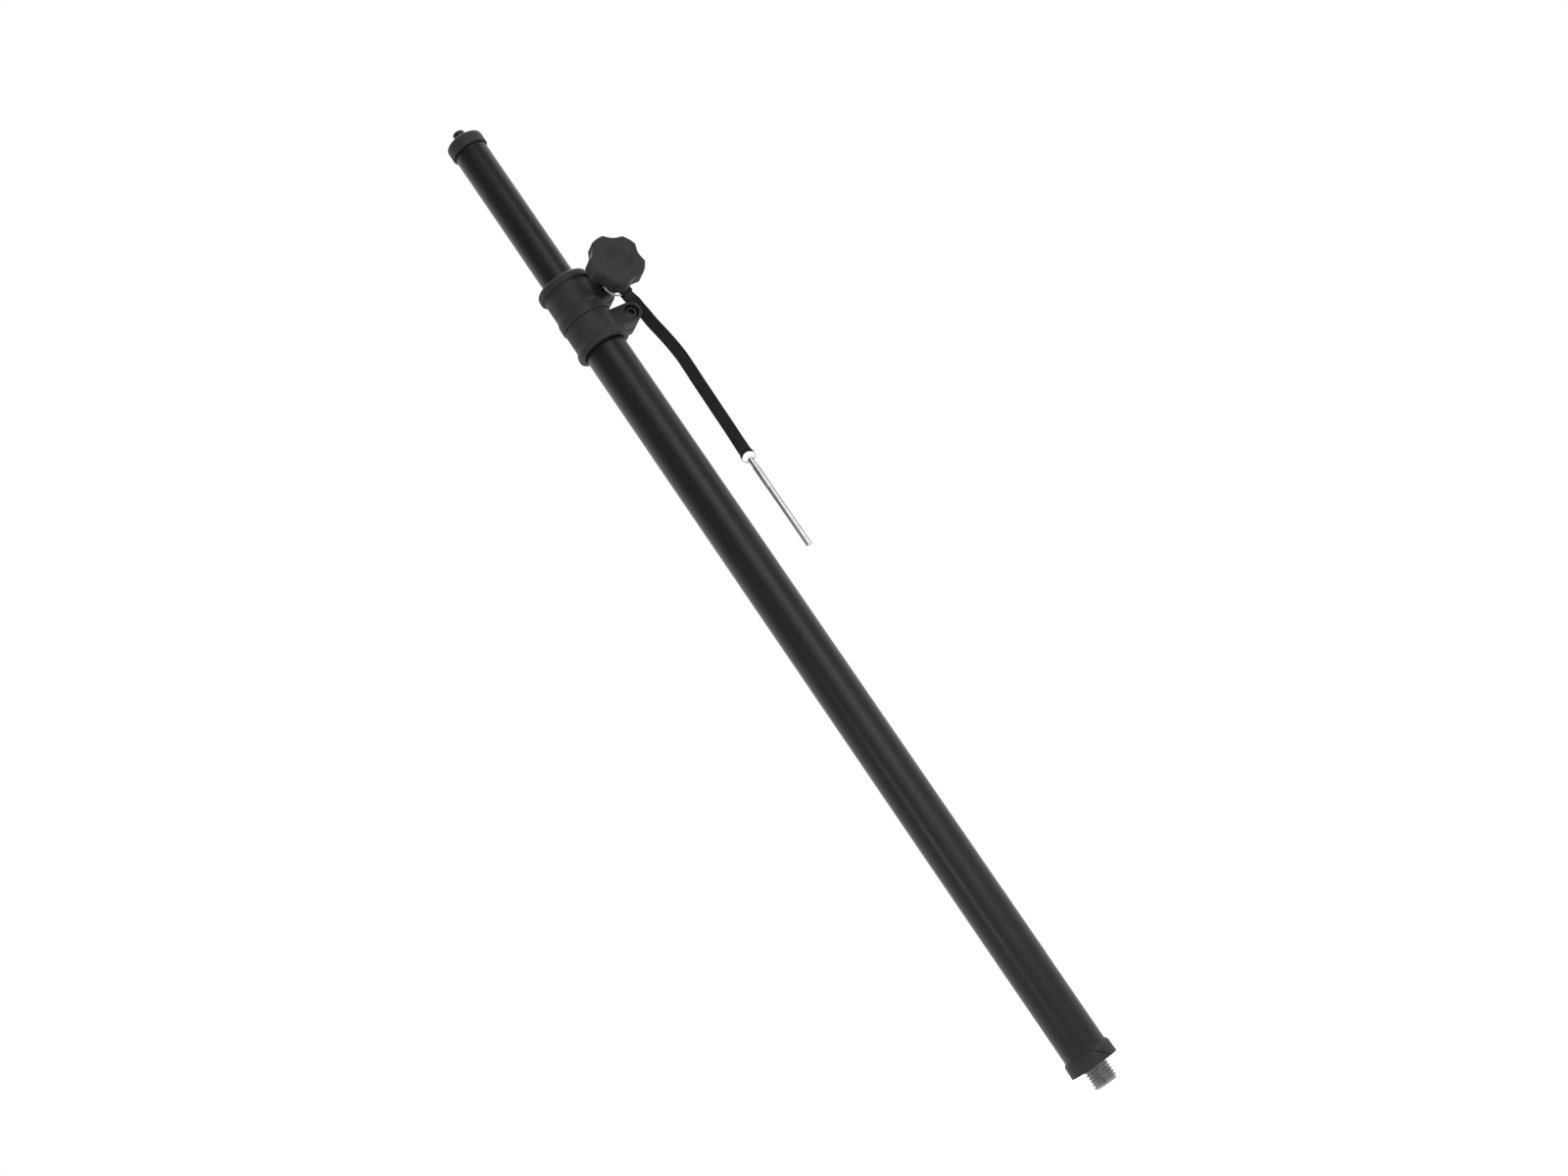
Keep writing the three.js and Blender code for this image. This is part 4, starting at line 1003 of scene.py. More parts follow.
@cache
def cross_holes() -> NodeTree:
    """Builds the tree that drills a row of holes through a tube, along Y.

    Returns:
        The tree.
    """
    nodes, given, wanted = new_shape_tree("cross_holes", [
        ("Count", INTEGER, 9), ("Top", FLOAT, 0.7), ("Pitch", FLOAT, 0.055),
        ("Radius", FLOAT, 0.003), ("Reach", FLOAT, 0.04), ("Sides", INTEGER, 48),
    ])
    start = nodes.add("ShaderNodeCombineXYZ", {2: given["Top"]}).outputs[0]
    step = nodes.add("ShaderNodeCombineXYZ", {2: nodes.math("MULTIPLY", given["Pitch"], -1.0)}).outputs[0]
    line = {"Count": given["Count"], "Start Location": start, "Offset": step}
    row = nodes.add("GeometryNodeMeshLine", line).outputs[0]
    size = {"Vertices": given["Sides"], "Radius": given["Radius"], "Depth": given["Reach"]}
    drill = nodes.add("GeometryNodeMeshCylinder", size).outputs[0]
    placed = {"Points": row, "Instance": drill, "Rotation": (math.pi / 2, 0.0, 0.0)}
    drills = nodes.add("GeometryNodeInstanceOnPoints", placed)
    solid = nodes.add("GeometryNodeRealizeInstances", {0: drills.outputs[0]}).outputs[0]
    cut = nodes.add("GeometryNodeMeshBoolean", operation="DIFFERENCE")
    cut.solver = "MANIFOLD"
    nodes.feed(cut.inputs["Mesh 1"], given["Geometry"])
    nodes.feed(cut.inputs["Mesh 2"], solid)
    finish_tree(nodes, given, wanted, cut.outputs[0])
    return nodes.tree


@cache
def split_ring() -> NodeTree:
    """Builds the tree that winds a split ring of two turns round the Z axis, with a step between them.

    Returns:
        The tree.
    """
    nodes, given, wanted = new_shape_tree("split_ring", [
        ("Radius", FLOAT, 0.0145), ("Wire", FLOAT, 0.0005), ("Pitch", FLOAT, 0.0015), ("Turns", FLOAT, 1.9),
        ("Start", FLOAT, 0.0), ("Steps", INTEGER, 220), ("Sides", INTEGER, 16),
    ])
    line = nodes.add("GeometryNodeMeshLine", {"Count": given["Steps"]}).outputs[0]
    last = nodes.math("SUBTRACT", given["Steps"], 1.0)
    share = nodes.math("DIVIDE", nodes.add("GeometryNodeInputIndex").outputs[0], last)
    turns = nodes.math("MULTIPLY", share, given["Turns"])
    angle = nodes.math("MULTIPLY_ADD", turns, 2 * math.pi, given["Start"])
    middle = nodes.math("DIVIDE", given["Turns"], 2.0)
    half_step = nodes.math("SUBTRACT", 1.0, middle)
    low, high = nodes.math("SUBTRACT", middle, half_step), nodes.math("ADD", middle, half_step)
    crossed = nodes.spread(turns, low, high)
    height = nodes.math("MULTIPLY", nodes.math("SUBTRACT", crossed, 0.5), given["Pitch"])
    x = nodes.math("MULTIPLY", nodes.math("COSINE", angle), given["Radius"])
    y = nodes.math("MULTIPLY", nodes.math("SINE", angle), given["Radius"])
    wound = nodes.add("ShaderNodeCombineXYZ", {0: x, 1: y, 2: height}).outputs[0]
    placed = nodes.add("GeometryNodeSetPosition", {"Geometry": line, "Position": wound}).outputs[0]
    curve = nodes.add("GeometryNodeMeshToCurve", {0: placed}).outputs[0]
    circle = {"Resolution": given["Sides"], "Radius": given["Wire"]}
    section = nodes.add("GeometryNodeCurvePrimitiveCircle", circle).outputs[0]
    sweep = {"Curve": curve, "Profile Curve": section, "Fill Caps": True}
    wire = nodes.add("GeometryNodeCurveToMesh", sweep)
    finish_tree(nodes, given, wanted, wire.outputs[0])
    return nodes.tree


@cache
def stitch_rows() -> NodeTree:
    """Builds the tree that lays one stitch on each point of a guide, along the guide's own directions.

    Returns:
        The tree.
    """
    sizes = [("Length", FLOAT, 0.0016), ("Thread", FLOAT, 0.0002)]
    nodes, given, wanted = new_shape_tree("stitch_rows", sizes)
    bead = nodes.add("GeometryNodeMeshUVSphere", {"Segments": 8, "Rings": 6, "Radius": 1.0}).outputs[0]
    lay = nodes.add("GeometryNodeInputNamedAttribute", {"Name": "lay"}, data_type="FLOAT_VECTOR").outputs[0]
    turned_to = nodes.add("FunctionNodeAlignRotationToVector", {"Vector": lay}, axis="Z").outputs[0]
    half = nodes.math("MULTIPLY", given["Length"], 0.5)
    size = nodes.add("ShaderNodeCombineXYZ", {0: given["Thread"], 1: given["Thread"], 2: half}).outputs[0]
    placed = {"Points": given["Geometry"], "Instance": bead, "Rotation": turned_to, "Scale": size}
    laid = nodes.add("GeometryNodeInstanceOnPoints", placed)
    finish_tree(nodes, given, wanted, laid.outputs[0])
    return nodes.tree


# Sub-assemblies


@dataclass(frozen=True)
class Box:
    """The box of one CAD node at rest."""

    low: Vector
    high: Vector

    @classmethod
    def of(cls, node: str) -> Box:
        """Returns the box of a node, by its name."""
        return cls(*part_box(node))

    @property
    def centre(self) -> Vector:
        """Returns the box's middle."""
        return (self.low + self.high) / 2

    @property
    def size(self) -> Vector:
        """Returns the box's lengths."""
        return self.high - self.low

    @property
    def radius(self) -> float:
        """Returns half its length in X, which is a turned piece's radius."""
        return self.size.x / 2


@dataclass
class SubAssembly:
    """Pieces that are made together.

    Attributes:
        seat_gap: the gap between pieces that touch.
    """

    frame: dict[str, Any]
    seat_gap: float = 0.0003

    def build(self) -> None:
        """Makes the pieces. Each sub-assembly has its own."""
        raise NotImplementedError

    def show(
        self, name: str, mesh: Mesh, finish: Finish, body: Body, stands_for: Sequence[str]
    ) -> Object:
        """Dresses a finished mesh and puts it on its body.

        Args:
            name: the piece's name.
            mesh: its mesh, in the row frame.
            finish: its finish.
            body: the body that it moves with.
            stands_for: the CAD nodes that it replaces.

        Returns:
            The piece.
        """
        mesh.materials.clear()
        mesh.materials.append(finish.material())
        mesh.polygons.foreach_set("material_index", np.zeros(len(mesh.polygons), np.int32))
        piece = temporary(mesh)
        piece.name = name
        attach(piece, body.value)
        if stands_for:
            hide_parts(*stands_for)
        LOG.info("%s: %d faces, %s, on %s", name, len(mesh.polygons), finish.name, body.value)
        return piece

    def keep(self, node: str, finish: Finish) -> None:
        """Dresses a CAD node that stays as it is.

        Args:
            node: its name.
            finish: its finish.
        """
        shown = self.frame["nodes"][node]
        shown.data.materials.clear()
        shown.data.materials.append(finish.material())
        LOG.info("%s: the frame's own mesh, %s", node, finish.name)


def ring_outline(inner: float, outer: float, low: float, high: float, fillet: float) -> list[Station]:
    """Returns the outline of a tube, its four corners rounded by one fillet."""
    corners = ((inner, low), (outer, low), (outer, high), (inner, high))
    return filleted([Station(radius, height, fillet) for radius, height in corners])


@dataclass
class OuterPole(SubAssembly):
    """The outer tube, and what is at its foot."""

    wall: float = 0.0015
    tube_fillet: float = 0.0003
    tube_sides: int = 192
    plug_fillet: float = 0.0003
    plug_countersink: float = 0.001
    stud_radius: float = 0.01
    spigot_radius: float = 0.008
    thread_depth: float = 0.00153
    thread_pitch: float = 0.0025
    thread_chamfer: float = 0.0014
    stud_sides: int = 96
    sleeve_rise: float = 0.0012
    sleeve_draft: float = 0.0003
    sleeve_slit: float = 0.0009
    sleeve_slit_angle: float = math.radians(288)
    sleeve_slit_turn: float = math.radians(-36)
    sleeve_chamfer: tuple[float, float] = (0.0011, 0.0018)
    sleeve_fillets: tuple[float, ...] = (0.0002, 0.0005, 0.0006, 0.0004, 0.0001)
    sleeve_steps: int = 240
    sleeve_levels: int = 10
    sleeve_level_margin: float = 0.12

    def build(self) -> None:
        """Makes the outer tube, the plug, the threaded stud and the sleeve."""
        tube = Box.of("lower_tube")
        bore = tube.radius - self.wall
        outline = ring_outline(bore, tube.radius, tube.low.z, tube.high.z, self.tube_fillet)
        mesh = turned("outer_tube", outline, self.tube_sides)
        self.show("outer_tube", mesh, Finishes.COAT, Body.OUTER, ["lower_tube"])
        self.build_plug(tube)
        self.build_stud()
        self.build_sleeve(tube.radius)

    def build_plug(self, tube: Box) -> None:
        """Makes the flanged steel plug.

        Args:
            tube: the outer tube's box.
        """
        plug = Box.of("foot_plug")
        bore = self.spigot_radius + self.seat_gap
        body = tube.radius - self.wall - self.seat_gap
        seat = tube.low.z - self.seat_gap
        outline = filleted([
            Station(bore, plug.low.z + self.plug_countersink),
            Station(self.stud_radius + self.seat_gap, plug.low.z),
            Station(plug.radius, plug.low.z, self.plug_fillet),
            Station(plug.radius, seat, self.plug_fillet),
            Station(body, seat),
            Station(body, plug.high.z, self.plug_fillet),
            Station(bore, plug.high.z),
        ])
        mesh = turned("foot_plug", outline)
        self.show("foot_plug_turned", mesh, Finishes.STEEL, Body.OUTER, ["foot_plug"])

    def build_stud(self) -> None:
        """Makes the foot's threaded stud."""
        stud = Box.of("threaded_stud")
        radius, tip, seat = stud.radius, stud.low.z, -self.seat_gap
        shank = threaded(radius, tip + self.thread_chamfer, seat, self.thread_pitch)
        outline = [
            Station(0.0, tip),
            Station(radius - self.thread_depth, tip, wear=0.5),
            *shank,
            Station(self.spigot_radius, seat),
            Station(self.spigot_radius, stud.high.z),
            Station(0.0, stud.high.z),
        ]
        values = {"Radius": radius, "Depth": self.thread_depth, "Pitch": self.thread_pitch}
        mesh = with_tree(turned("foot_stud", outline, self.stud_sides), screw_thread(), values)
        self.show("foot_stud", mesh, Finishes.STEEL, Body.OUTER, ["threaded_stud"])

    def build_sleeve(self, tube_radius: float) -> None:
        """Makes the split sleeve, whose rim falls from one side of its slanted slit to the other.

        Args:
            tube_radius: the outer tube's radius.
        """
        sleeve = Box.of("foot_sleeve")
        height = sleeve.high.z - self.sleeve_rise
        inner, outer = tube_radius + self.seat_gap, sleeve.radius
        slit = self.sleeve_slit / outer
        rings = []
        for step in range(self.sleeve_steps + 1):
            share = step / self.sleeve_steps
            rim = height + self.sleeve_rise * (1 - share)
            section = self.sleeve_section(inner, outer, rim)
            ring = []
            for station in section:
                start = self.sleeve_slit_angle + self.sleeve_slit_turn * station.height / height
                angle = start + slit / 2 + share * (2 * math.pi - slit)
                level = Vector((math.cos(angle), math.sin(angle))) * station.radius
                ring.append((*level, station.height))
            rings.append(ring)
        mesh = lofted("split_sleeve", rings)
        write_marks(mesh, "wear", [station.wear for station in section] * len(rings))
        self.show("split_sleeve", mesh, Finishes.MOULDED, Body.OUTER, ["foot_sleeve"])

    def sleeve_section(self, inner: float, outer: float, rim: float) -> list[Station]:
        """Works out the sleeve's section at one place round it, with levels that let its sides twist.

        Args:
            inner: its inner radius.
            outer: its outer radius.
            rim: the height of its rim there.

        Returns:
            The section, anticlockwise.
        """
        width, drop = self.sleeve_chamfer
        top = outer - self.sleeve_draft
        corners = ((inner, 0.0), (outer, 0.0), (top, rim - drop), (top - width, rim), (inner, rim))
        rounded = filleted([Station(*corner, fillet) for corner, fillet in zip(corners, self.sleeve_fillets)])
        levels = np.linspace(self.sleeve_level_margin, 1 - self.sleeve_level_margin, self.sleeve_levels)
        wall_foot = 2 * (FILLET_STEPS + 1)
        front = [part_way(rounded[wall_foot - 1], rounded[wall_foot], level) for level in levels]
        back = [part_way(rounded[-1], rounded[0], level) for level in levels]
        return [*rounded[:wall_foot], *front, *rounded[wall_foot:], *back]


def part_way(start: Station, end: Station, share: float) -> Station:
    """Returns the station at a share of the way from one to another."""
    radius = start.radius + (end.radius - start.radius) * share
    return Station(radius, start.height + (end.height - start.height) * share)


def lofted(name: str, rings: Sequence[Sequence[Sequence[float]]]) -> Mesh:
    """Joins rings of points, each as long as the next, into a closed mesh.

    Args:
        name: the mesh's name.
        rings: the rings, in order.

    Returns:
        The mesh, with its faces turned outwards.
    """
    count = len(rings[0])
    faces: list[Sequence[int]] = []
    for ring in range(len(rings) - 1):
        for side in range(count):
            after = (side + 1) % count
            low = ring * count
            faces.append((low + side, low + after, low + count + after, low + count + side))
    faces.append(tuple(reversed(range(count))))
    faces.append(tuple(range((len(rings) - 1) * count, len(rings) * count)))
    points = np.array([point for ring in rings for point in ring])
    around = points - points.mean(0)
    volume = sum(np.dot(around[face[0]], np.cross(around[face[1]], around[face[2]])) for face in faces)
    if volume < 0:
        faces = [tuple(reversed(face)) for face in faces]
    return mesh_from(name, points, faces)


@dataclass
class InnerPole(SubAssembly):
    """The inner tube with its cross holes, its glide, and the cap and stud at its top."""

    wall: float = 0.0015
    tube_fillet: float = 0.0003
    hole_radius: float = 0.00325
    hole_pitch: float = 0.055
    hole_count: int = 9
    hole_drop: float = 0.0153
    cap_roof: float = 0.0036
    cap_fillet: float = 0.0024
    cap_edge: float = 0.0004
    stud_radius: float = 0.005
    stud_rounding: float = 0.0016
    stud_sides: int = 72
    tube_sides: int = 160
    rivet_height: float = 0.0042
    rivet_hole: float = 0.0018

    def build(self) -> None:
        """Makes the inner tube, its cap and its top stud, and dresses what is inside it."""
        self.build_tube()
        self.build_cap()
        self.build_stud()
        self.keep("tube_glide", Finishes.SLIDE)
        self.keep("top_plug", Finishes.SLIDE)
        self.keep("front_glide_rivet", Finishes.STEEL)
        self.keep("back_glide_rivet", Finishes.STEEL)

    def build_tube(self) -> None:
        """Makes the inner tube and drills it."""
        tube, housing = Box.of("upper_tube"), Box.of("collar_housing")
        bore = tube.radius - self.wall
        outline = ring_outline(bore, tube.radius, tube.low.z, tube.high.z, self.tube_fillet)
        mesh = turned("inner_tube", outline, self.tube_sides)
        rows = (
            (self.hole_count, housing.high.z - self.hole_drop, self.hole_radius),
            (1, tube.low.z + self.rivet_height, self.rivet_hole),
        )
        for count, top, radius in rows:
            values = {
                "Count": count, "Top": top, "Pitch": self.hole_pitch, "Radius": radius,
                "Reach": 2 * tube.radius + 2 * OVERRUN,
            }
            mesh = with_tree(mesh, cross_holes(), values)
        self.show("inner_tube", edged(mesh), Finishes.COAT, Body.INNER, ["upper_tube"])

    def build_cap(self) -> None:
        """Makes the plastic cap."""
        cap, tube = Box.of("top_cap"), Box.of("upper_tube")
        inner, hole = tube.radius + self.seat_gap, self.stud_radius + self.seat_gap
        roof = cap.high.z - self.cap_roof
        outline = filleted([
            Station(inner, cap.low.z),
            Station(cap.radius, cap.low.z, self.cap_edge),
            Station(cap.radius, cap.high.z, self.cap_fillet),
            Station(hole, cap.high.z, self.cap_edge),
            Station(hole, roof),
            Station(inner, roof),
        ], 2 * FILLET_STEPS)
        mesh = turned("end_cap", outline, self.tube_sides)
        self.show("end_cap", mesh, Finishes.MOULDED, Body.INNER, ["top_cap"])

    def build_stud(self) -> None:
        """Makes the short stud that stands up through the cap."""
        stud = Box.of("top_stud")
        outline = filleted([
            Station(0.0, stud.low.z),
            Station(self.stud_radius, stud.low.z),
            Station(self.stud_radius, stud.high.z, self.stud_rounding),
            Station(0.0, stud.high.z),
        ], 2 * FILLET_STEPS)
        mesh = turned("cap_stud", outline, self.stud_sides)
        self.show("cap_stud", mesh, Finishes.BOLT_STEEL, Body.INNER, ["top_stud"])


def towards_knob(reach: float, height: float) -> Matrix:
    """Returns the turn and move that take a piece made along +Z to a bolt that runs towards the knob."""
    return Matrix.Translation((reach, 0.0, height)) @ Matrix.Rotation(math.pi / 2, 4, "X")


def knob_axis() -> Matrix:
    """Returns the turn and move that take a piece made along +Z to the knob's bolt."""
    return towards_knob(KNOB_REACH, Box.of("collar_housing").low.z + KNOB_RISE)


def moved(mesh: Mesh, matrix: Matrix) -> Mesh:
    """Returns a mesh after moving its vertices by a matrix."""
    mesh.transform(matrix)
    return mesh


def solid_rod(radius: float, low: float, high: float, sides: int = SMALL_SIDES) -> Mesh:
    """Returns a plain rod along Z between two heights, for cutting."""
    corners = ((0.0, low), (radius, low), (radius, high), (0.0, high))
    return turned("rod", [Station(*corner) for corner in corners], sides)


def solid_box(low: Sequence[float], high: Sequence[float]) -> Mesh:
    """Returns a box between two corners, for cutting."""
    corners = ((low[0], low[1]), (high[0], low[1]), (high[0], high[1]), (low[0], high[1]))
    return prism("box", [Vector(corner) for corner in corners], low[2], high[2])


@dataclass
class Collar(SubAssembly):
    """The collar housing, the clamp ring below it, the clamp screw and both nuts."""

    slit: float = 0.0016
    voxel: float = 0.00047
    smoothing: int = 3
    housing_radius: float = 0.0199
    socket_depth: float = 0.0149
    mouth_depth: float = 0.0058
    bore_gap: float = 0.0004
    skirt_radius: float = 0.0213
    skirt_height: float = 0.0076
    skirt_taper: float = 0.004
    skirt_fillet: float = 0.011
    flange_radius: float = 0.0225
    flange_height: float = 0.0071
    flange_droop: float = 0.0009
    flange_edges: tuple[float, float] = (0.0005, 0.0007)
    flange_fillet: float = 0.0036
    ear_base: float = 0.0086
    ear_lap: float = 0.0022
    ear_reach: float = 0.0347
    ear_depth: float = 0.013
    ear_fillet: float = 0.0075
    far_ear_reach: float = 0.0367
    ring_radius: float = 0.0204
    seam: float = 0.00006
    lip_radius: float = 0.0226
    lip_height: float = 0.0042
    lip_flare: float = 0.0044
    lip_edge: float = 0.0011
    lip_fillet: float = 0.0025
    spigot_wall: float = 0.0012
    lug_radius: float = 0.0085
    lug_reach: float = 0.0318
    lug_height: float = 0.0152
    near_lug: float = 0.0145
    far_lug: float = 0.01
    counterbore: float = 0.0059
    counterbore_depth: float = 0.0082
    screw_radius: float = 0.003
    screw_end_fillet: float = 0.0005
    screw_nut_width: float = 0.01
    screw_nut_height: float = 0.005
    knob_nut_width: float = 0.013
    knob_nut_height: float = 0.0065
    nut_chamfer_share: float = 0.6
    head_radius: float = 0.005
    head_fillet: float = 0.0003
    head_chamfer: float = 0.0006
    socket_width: float = 0.005
    socket_depth_in_head: float = 0.003

    def build(self) -> None:
        """Makes the two mouldings and their fasteners, and dresses the guide bush."""
        self.build_housing()
        self.build_ring()
        self.build_screw()
        lug_bolt = towards_knob(self.lug_reach, Box.of("clamp_ring").low.z + self.lug_height)
        self.build_nut("clamp_nut", self.screw_nut_width, self.screw_radius, lug_bolt)
        self.build_nut("knob_nut", self.knob_nut_width, KNOB_STUD_RADIUS, knob_axis())
        self.keep("guide_bush", Finishes.SLIDE)

    def slot_cut(self, low: float, high: float) -> Mesh:
        """Returns the slot that splits a clamp on its +X side, between two heights."""
        reach, half = self.ear_reach + self.lug_reach, self.slit / 2
        return solid_box((0.0, -half, low - OVERRUN), (reach, half, high + OVERRUN))

    def build_housing(self) -> None:
        """Makes the collar housing."""
        foot, top = (corner.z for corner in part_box("collar_housing"))
        tube, inner = Box.of("lower_tube").radius, Box.of("upper_tube").radius
        skirt, flange = foot + self.skirt_height, top - self.flange_height
        body = turned("collar_housing", filleted([
            Station(0.0, foot),
            Station(self.skirt_radius, foot),
            Station(self.skirt_radius, skirt, self.skirt_fillet),
            Station(self.housing_radius, skirt + self.skirt_taper, self.skirt_fillet),
            Station(self.housing_radius, flange + self.flange_droop, self.flange_edges[0]),
            Station(self.flange_radius, flange - self.flange_droop, self.flange_edges[1]),
            Station(self.flange_radius, top, self.flange_fillet),
            Station(0.0, top),
        ], 3 * FILLET_STEPS))
        depth = self.ear_depth
        ears = [self.ear(self.ear_reach, 0.0, depth), self.ear(self.far_ear_reach, -depth, 0.0)]
        mouth = tube + 2 * self.seat_gap + self.spigot_wall
        cuts = [
            solid_rod(mouth, foot - OVERRUN, foot + self.mouth_depth, ROUND_SIDES),
            solid_rod(tube + self.seat_gap, foot - OVERRUN, foot + self.socket_depth, ROUND_SIDES),
            solid_rod(inner + self.bore_gap, foot - OVERRUN, top + OVERRUN, ROUND_SIDES),
            self.slot_cut(foot, top),
        ]
        nut = hexagon(self.knob_nut_width + 2 * self.seat_gap)
        floor = self.knob_nut_height + 2 * self.seat_gap - depth
        stud_hole = solid_rod(KNOB_STUD_RADIUS + self.seat_gap, -depth, depth + OVERRUN)
        pocket = prism("pocket", nut, -depth - OVERRUN, floor)
        cuts += [moved(mesh, knob_axis()) for mesh in (stud_hole, pocket)]
        mesh = moulded(carved(body, ears, cuts), self.voxel, self.smoothing)
        self.show("collar_moulding", mesh, Finishes.MOULDED, Body.OUTER, ["collar_housing"])

    def ear(self, reach: float, low: float, high: float) -> Mesh:
        """Makes one ear of the housing.

        Args:
            reach: how far it stands out from the axis.
            low: its farther face from the knob.
            high: its nearer face.

        Returns:
            The ear.
        """
        foot, top = (corner.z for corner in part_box("collar_housing"))
        upper = top - foot - self.flange_height + self.ear_lap
        outline = rounded_outline([
            Station(0.0, self.ear_base),
            Station(reach, self.ear_base, self.ear_fillet),
            Station(reach, upper, self.ear_fillet),
            Station(0.0, upper),
        ])
        return moved(prism("ear", outline, low, high), towards_knob(0.0, foot))

    def build_ring(self) -> None:
        """Makes the clamp ring with its lip and lugs."""
        foot = Box.of("clamp_ring").low.z
        housing_foot = Box.of("collar_housing").low.z
        tube = Box.of("lower_tube").radius
        lip, top = foot + self.lip_height, housing_foot - self.seam
        spigot = tube + self.seat_gap + self.spigot_wall
        spigot_top = housing_foot + self.mouth_depth - self.seat_gap
        body = turned("clamp_ring", filleted([
            Station(0.0, foot),
            Station(self.lip_radius, foot, self.lip_edge),
            Station(self.lip_radius, lip, self.lip_fillet),
            Station(self.ring_radius, lip + self.lip_flare, self.lip_fillet),
            Station(self.ring_radius, top),
            Station(spigot, top),
            Station(spigot, spigot_top),
            Station(0.0, spigot_top),
        ], 2 * FILLET_STEPS))
        place = towards_knob(0.0, foot + self.lug_height)
        faces = ((0.0, self.near_lug), (-self.far_lug, 0.0))
        lugs = [moved(self.lug(low, high), place) for low, high in faces]
        bolt = towards_knob(self.lug_reach, foot + self.lug_height)
        pocket = self.screw_nut_height + self.seat_gap - self.far_lug
        nut = hexagon(self.screw_nut_width + 2 * self.seat_gap)
        bolt_cuts = (
            solid_rod(self.screw_radius + self.seat_gap, -self.far_lug - OVERRUN, self.near_lug),
            solid_rod(self.counterbore, self.near_lug - self.counterbore_depth, self.near_lug + OVERRUN),
            prism("pocket", nut, -self.far_lug - OVERRUN, pocket),
        )
        cuts = [
            solid_rod(tube + self.seat_gap, foot - OVERRUN, spigot_top + OVERRUN, ROUND_SIDES),
            self.slot_cut(foot, spigot_top),
            *(moved(mesh, bolt) for mesh in bolt_cuts),
        ]
        mesh = moulded(carved(body, lugs, cuts), self.voxel, self.smoothing)
        self.show("clamp_moulding", mesh, Finishes.MOULDED, Body.OUTER, ["clamp_ring"])

    def lug(self, low: float, high: float) -> Mesh:
        """Makes one lug of the clamp ring, along Z.

        Args:
            low: its lower height.
            high: its upper height.

        Returns:
            The lug.
        """
        middle = Vector((self.lug_reach, 0.0))
        turns = np.linspace(-math.pi / 2, math.pi / 2, SMALL_SIDES * 3 // 4 + 1)
        round_end = [middle + Vector((math.cos(turn), math.sin(turn))) * self.lug_radius for turn in turns]
        outline = [Vector((0.0, -self.lug_radius)), *round_end, Vector((0.0, self.lug_radius))]
        return prism("lug", outline, low, high)

    def build_screw(self) -> None:
        """Makes the clamp's socket-head screw."""
        foot = Box.of("clamp_ring").low.z
        box = Box.of("clamp_screw")
        top, end = -box.low.y, -box.high.y
        seat = self.near_lug - self.counterbore_depth + self.seat_gap
        head = turned("socket_screw", filleted([
            Station(0.0, end),
            Station(self.screw_radius, end, self.screw_end_fillet),
            Station(self.screw_radius, seat),
            Station(self.head_radius, seat, self.head_fillet),
            Station(self.head_radius, top, self.head_chamfer),
            Station(0.0, top),
        ]), SMALL_SIDES)
        socket_floor = top - self.socket_depth_in_head
        socket = prism("socket", hexagon(self.socket_width), socket_floor, top + OVERRUN)
        mesh = moved(carved(head, [], [socket]), towards_knob(self.lug_reach, foot + self.lug_height))
        self.show("socket_screw", mesh, Finishes.BOLT_STEEL, Body.OUTER, ["clamp_screw"])

    def build_nut(self, node: str, width: float, bolt_radius: float, place: Matrix) -> None:
        """Makes a chamfered hexagonal nut.

        Args:
            node: the CAD node that it stands for.
            width: its width across flats.
            bolt_radius: its bolt's radius.
            place: where its bolt is.
        """
        box = Box.of(node)
        low, high = -box.high.y, -box.low.y
        corner = width / math.sqrt(3)
        rise = self.nut_chamfer_share * (corner - width / 2 + OVERRUN)
        blank = prism(node, hexagon(width), low, high)
        lens = turned("lens", [
            Station(0.0, low),
            Station(width / 2, low),
            Station(corner + OVERRUN, low + rise),
            Station(corner + OVERRUN, high - rise),
            Station(width / 2, high),
            Station(0.0, high),
        ], SMALL_SIDES)
        bore = solid_rod(bolt_radius + self.seat_gap, low - OVERRUN, high + OVERRUN)
        mesh = moved(carved(blank, [], [bore], [lens]), place)
        self.show(f"{node}_hexagon", mesh, Finishes.BOLT_STEEL, Body.OUTER, [node])


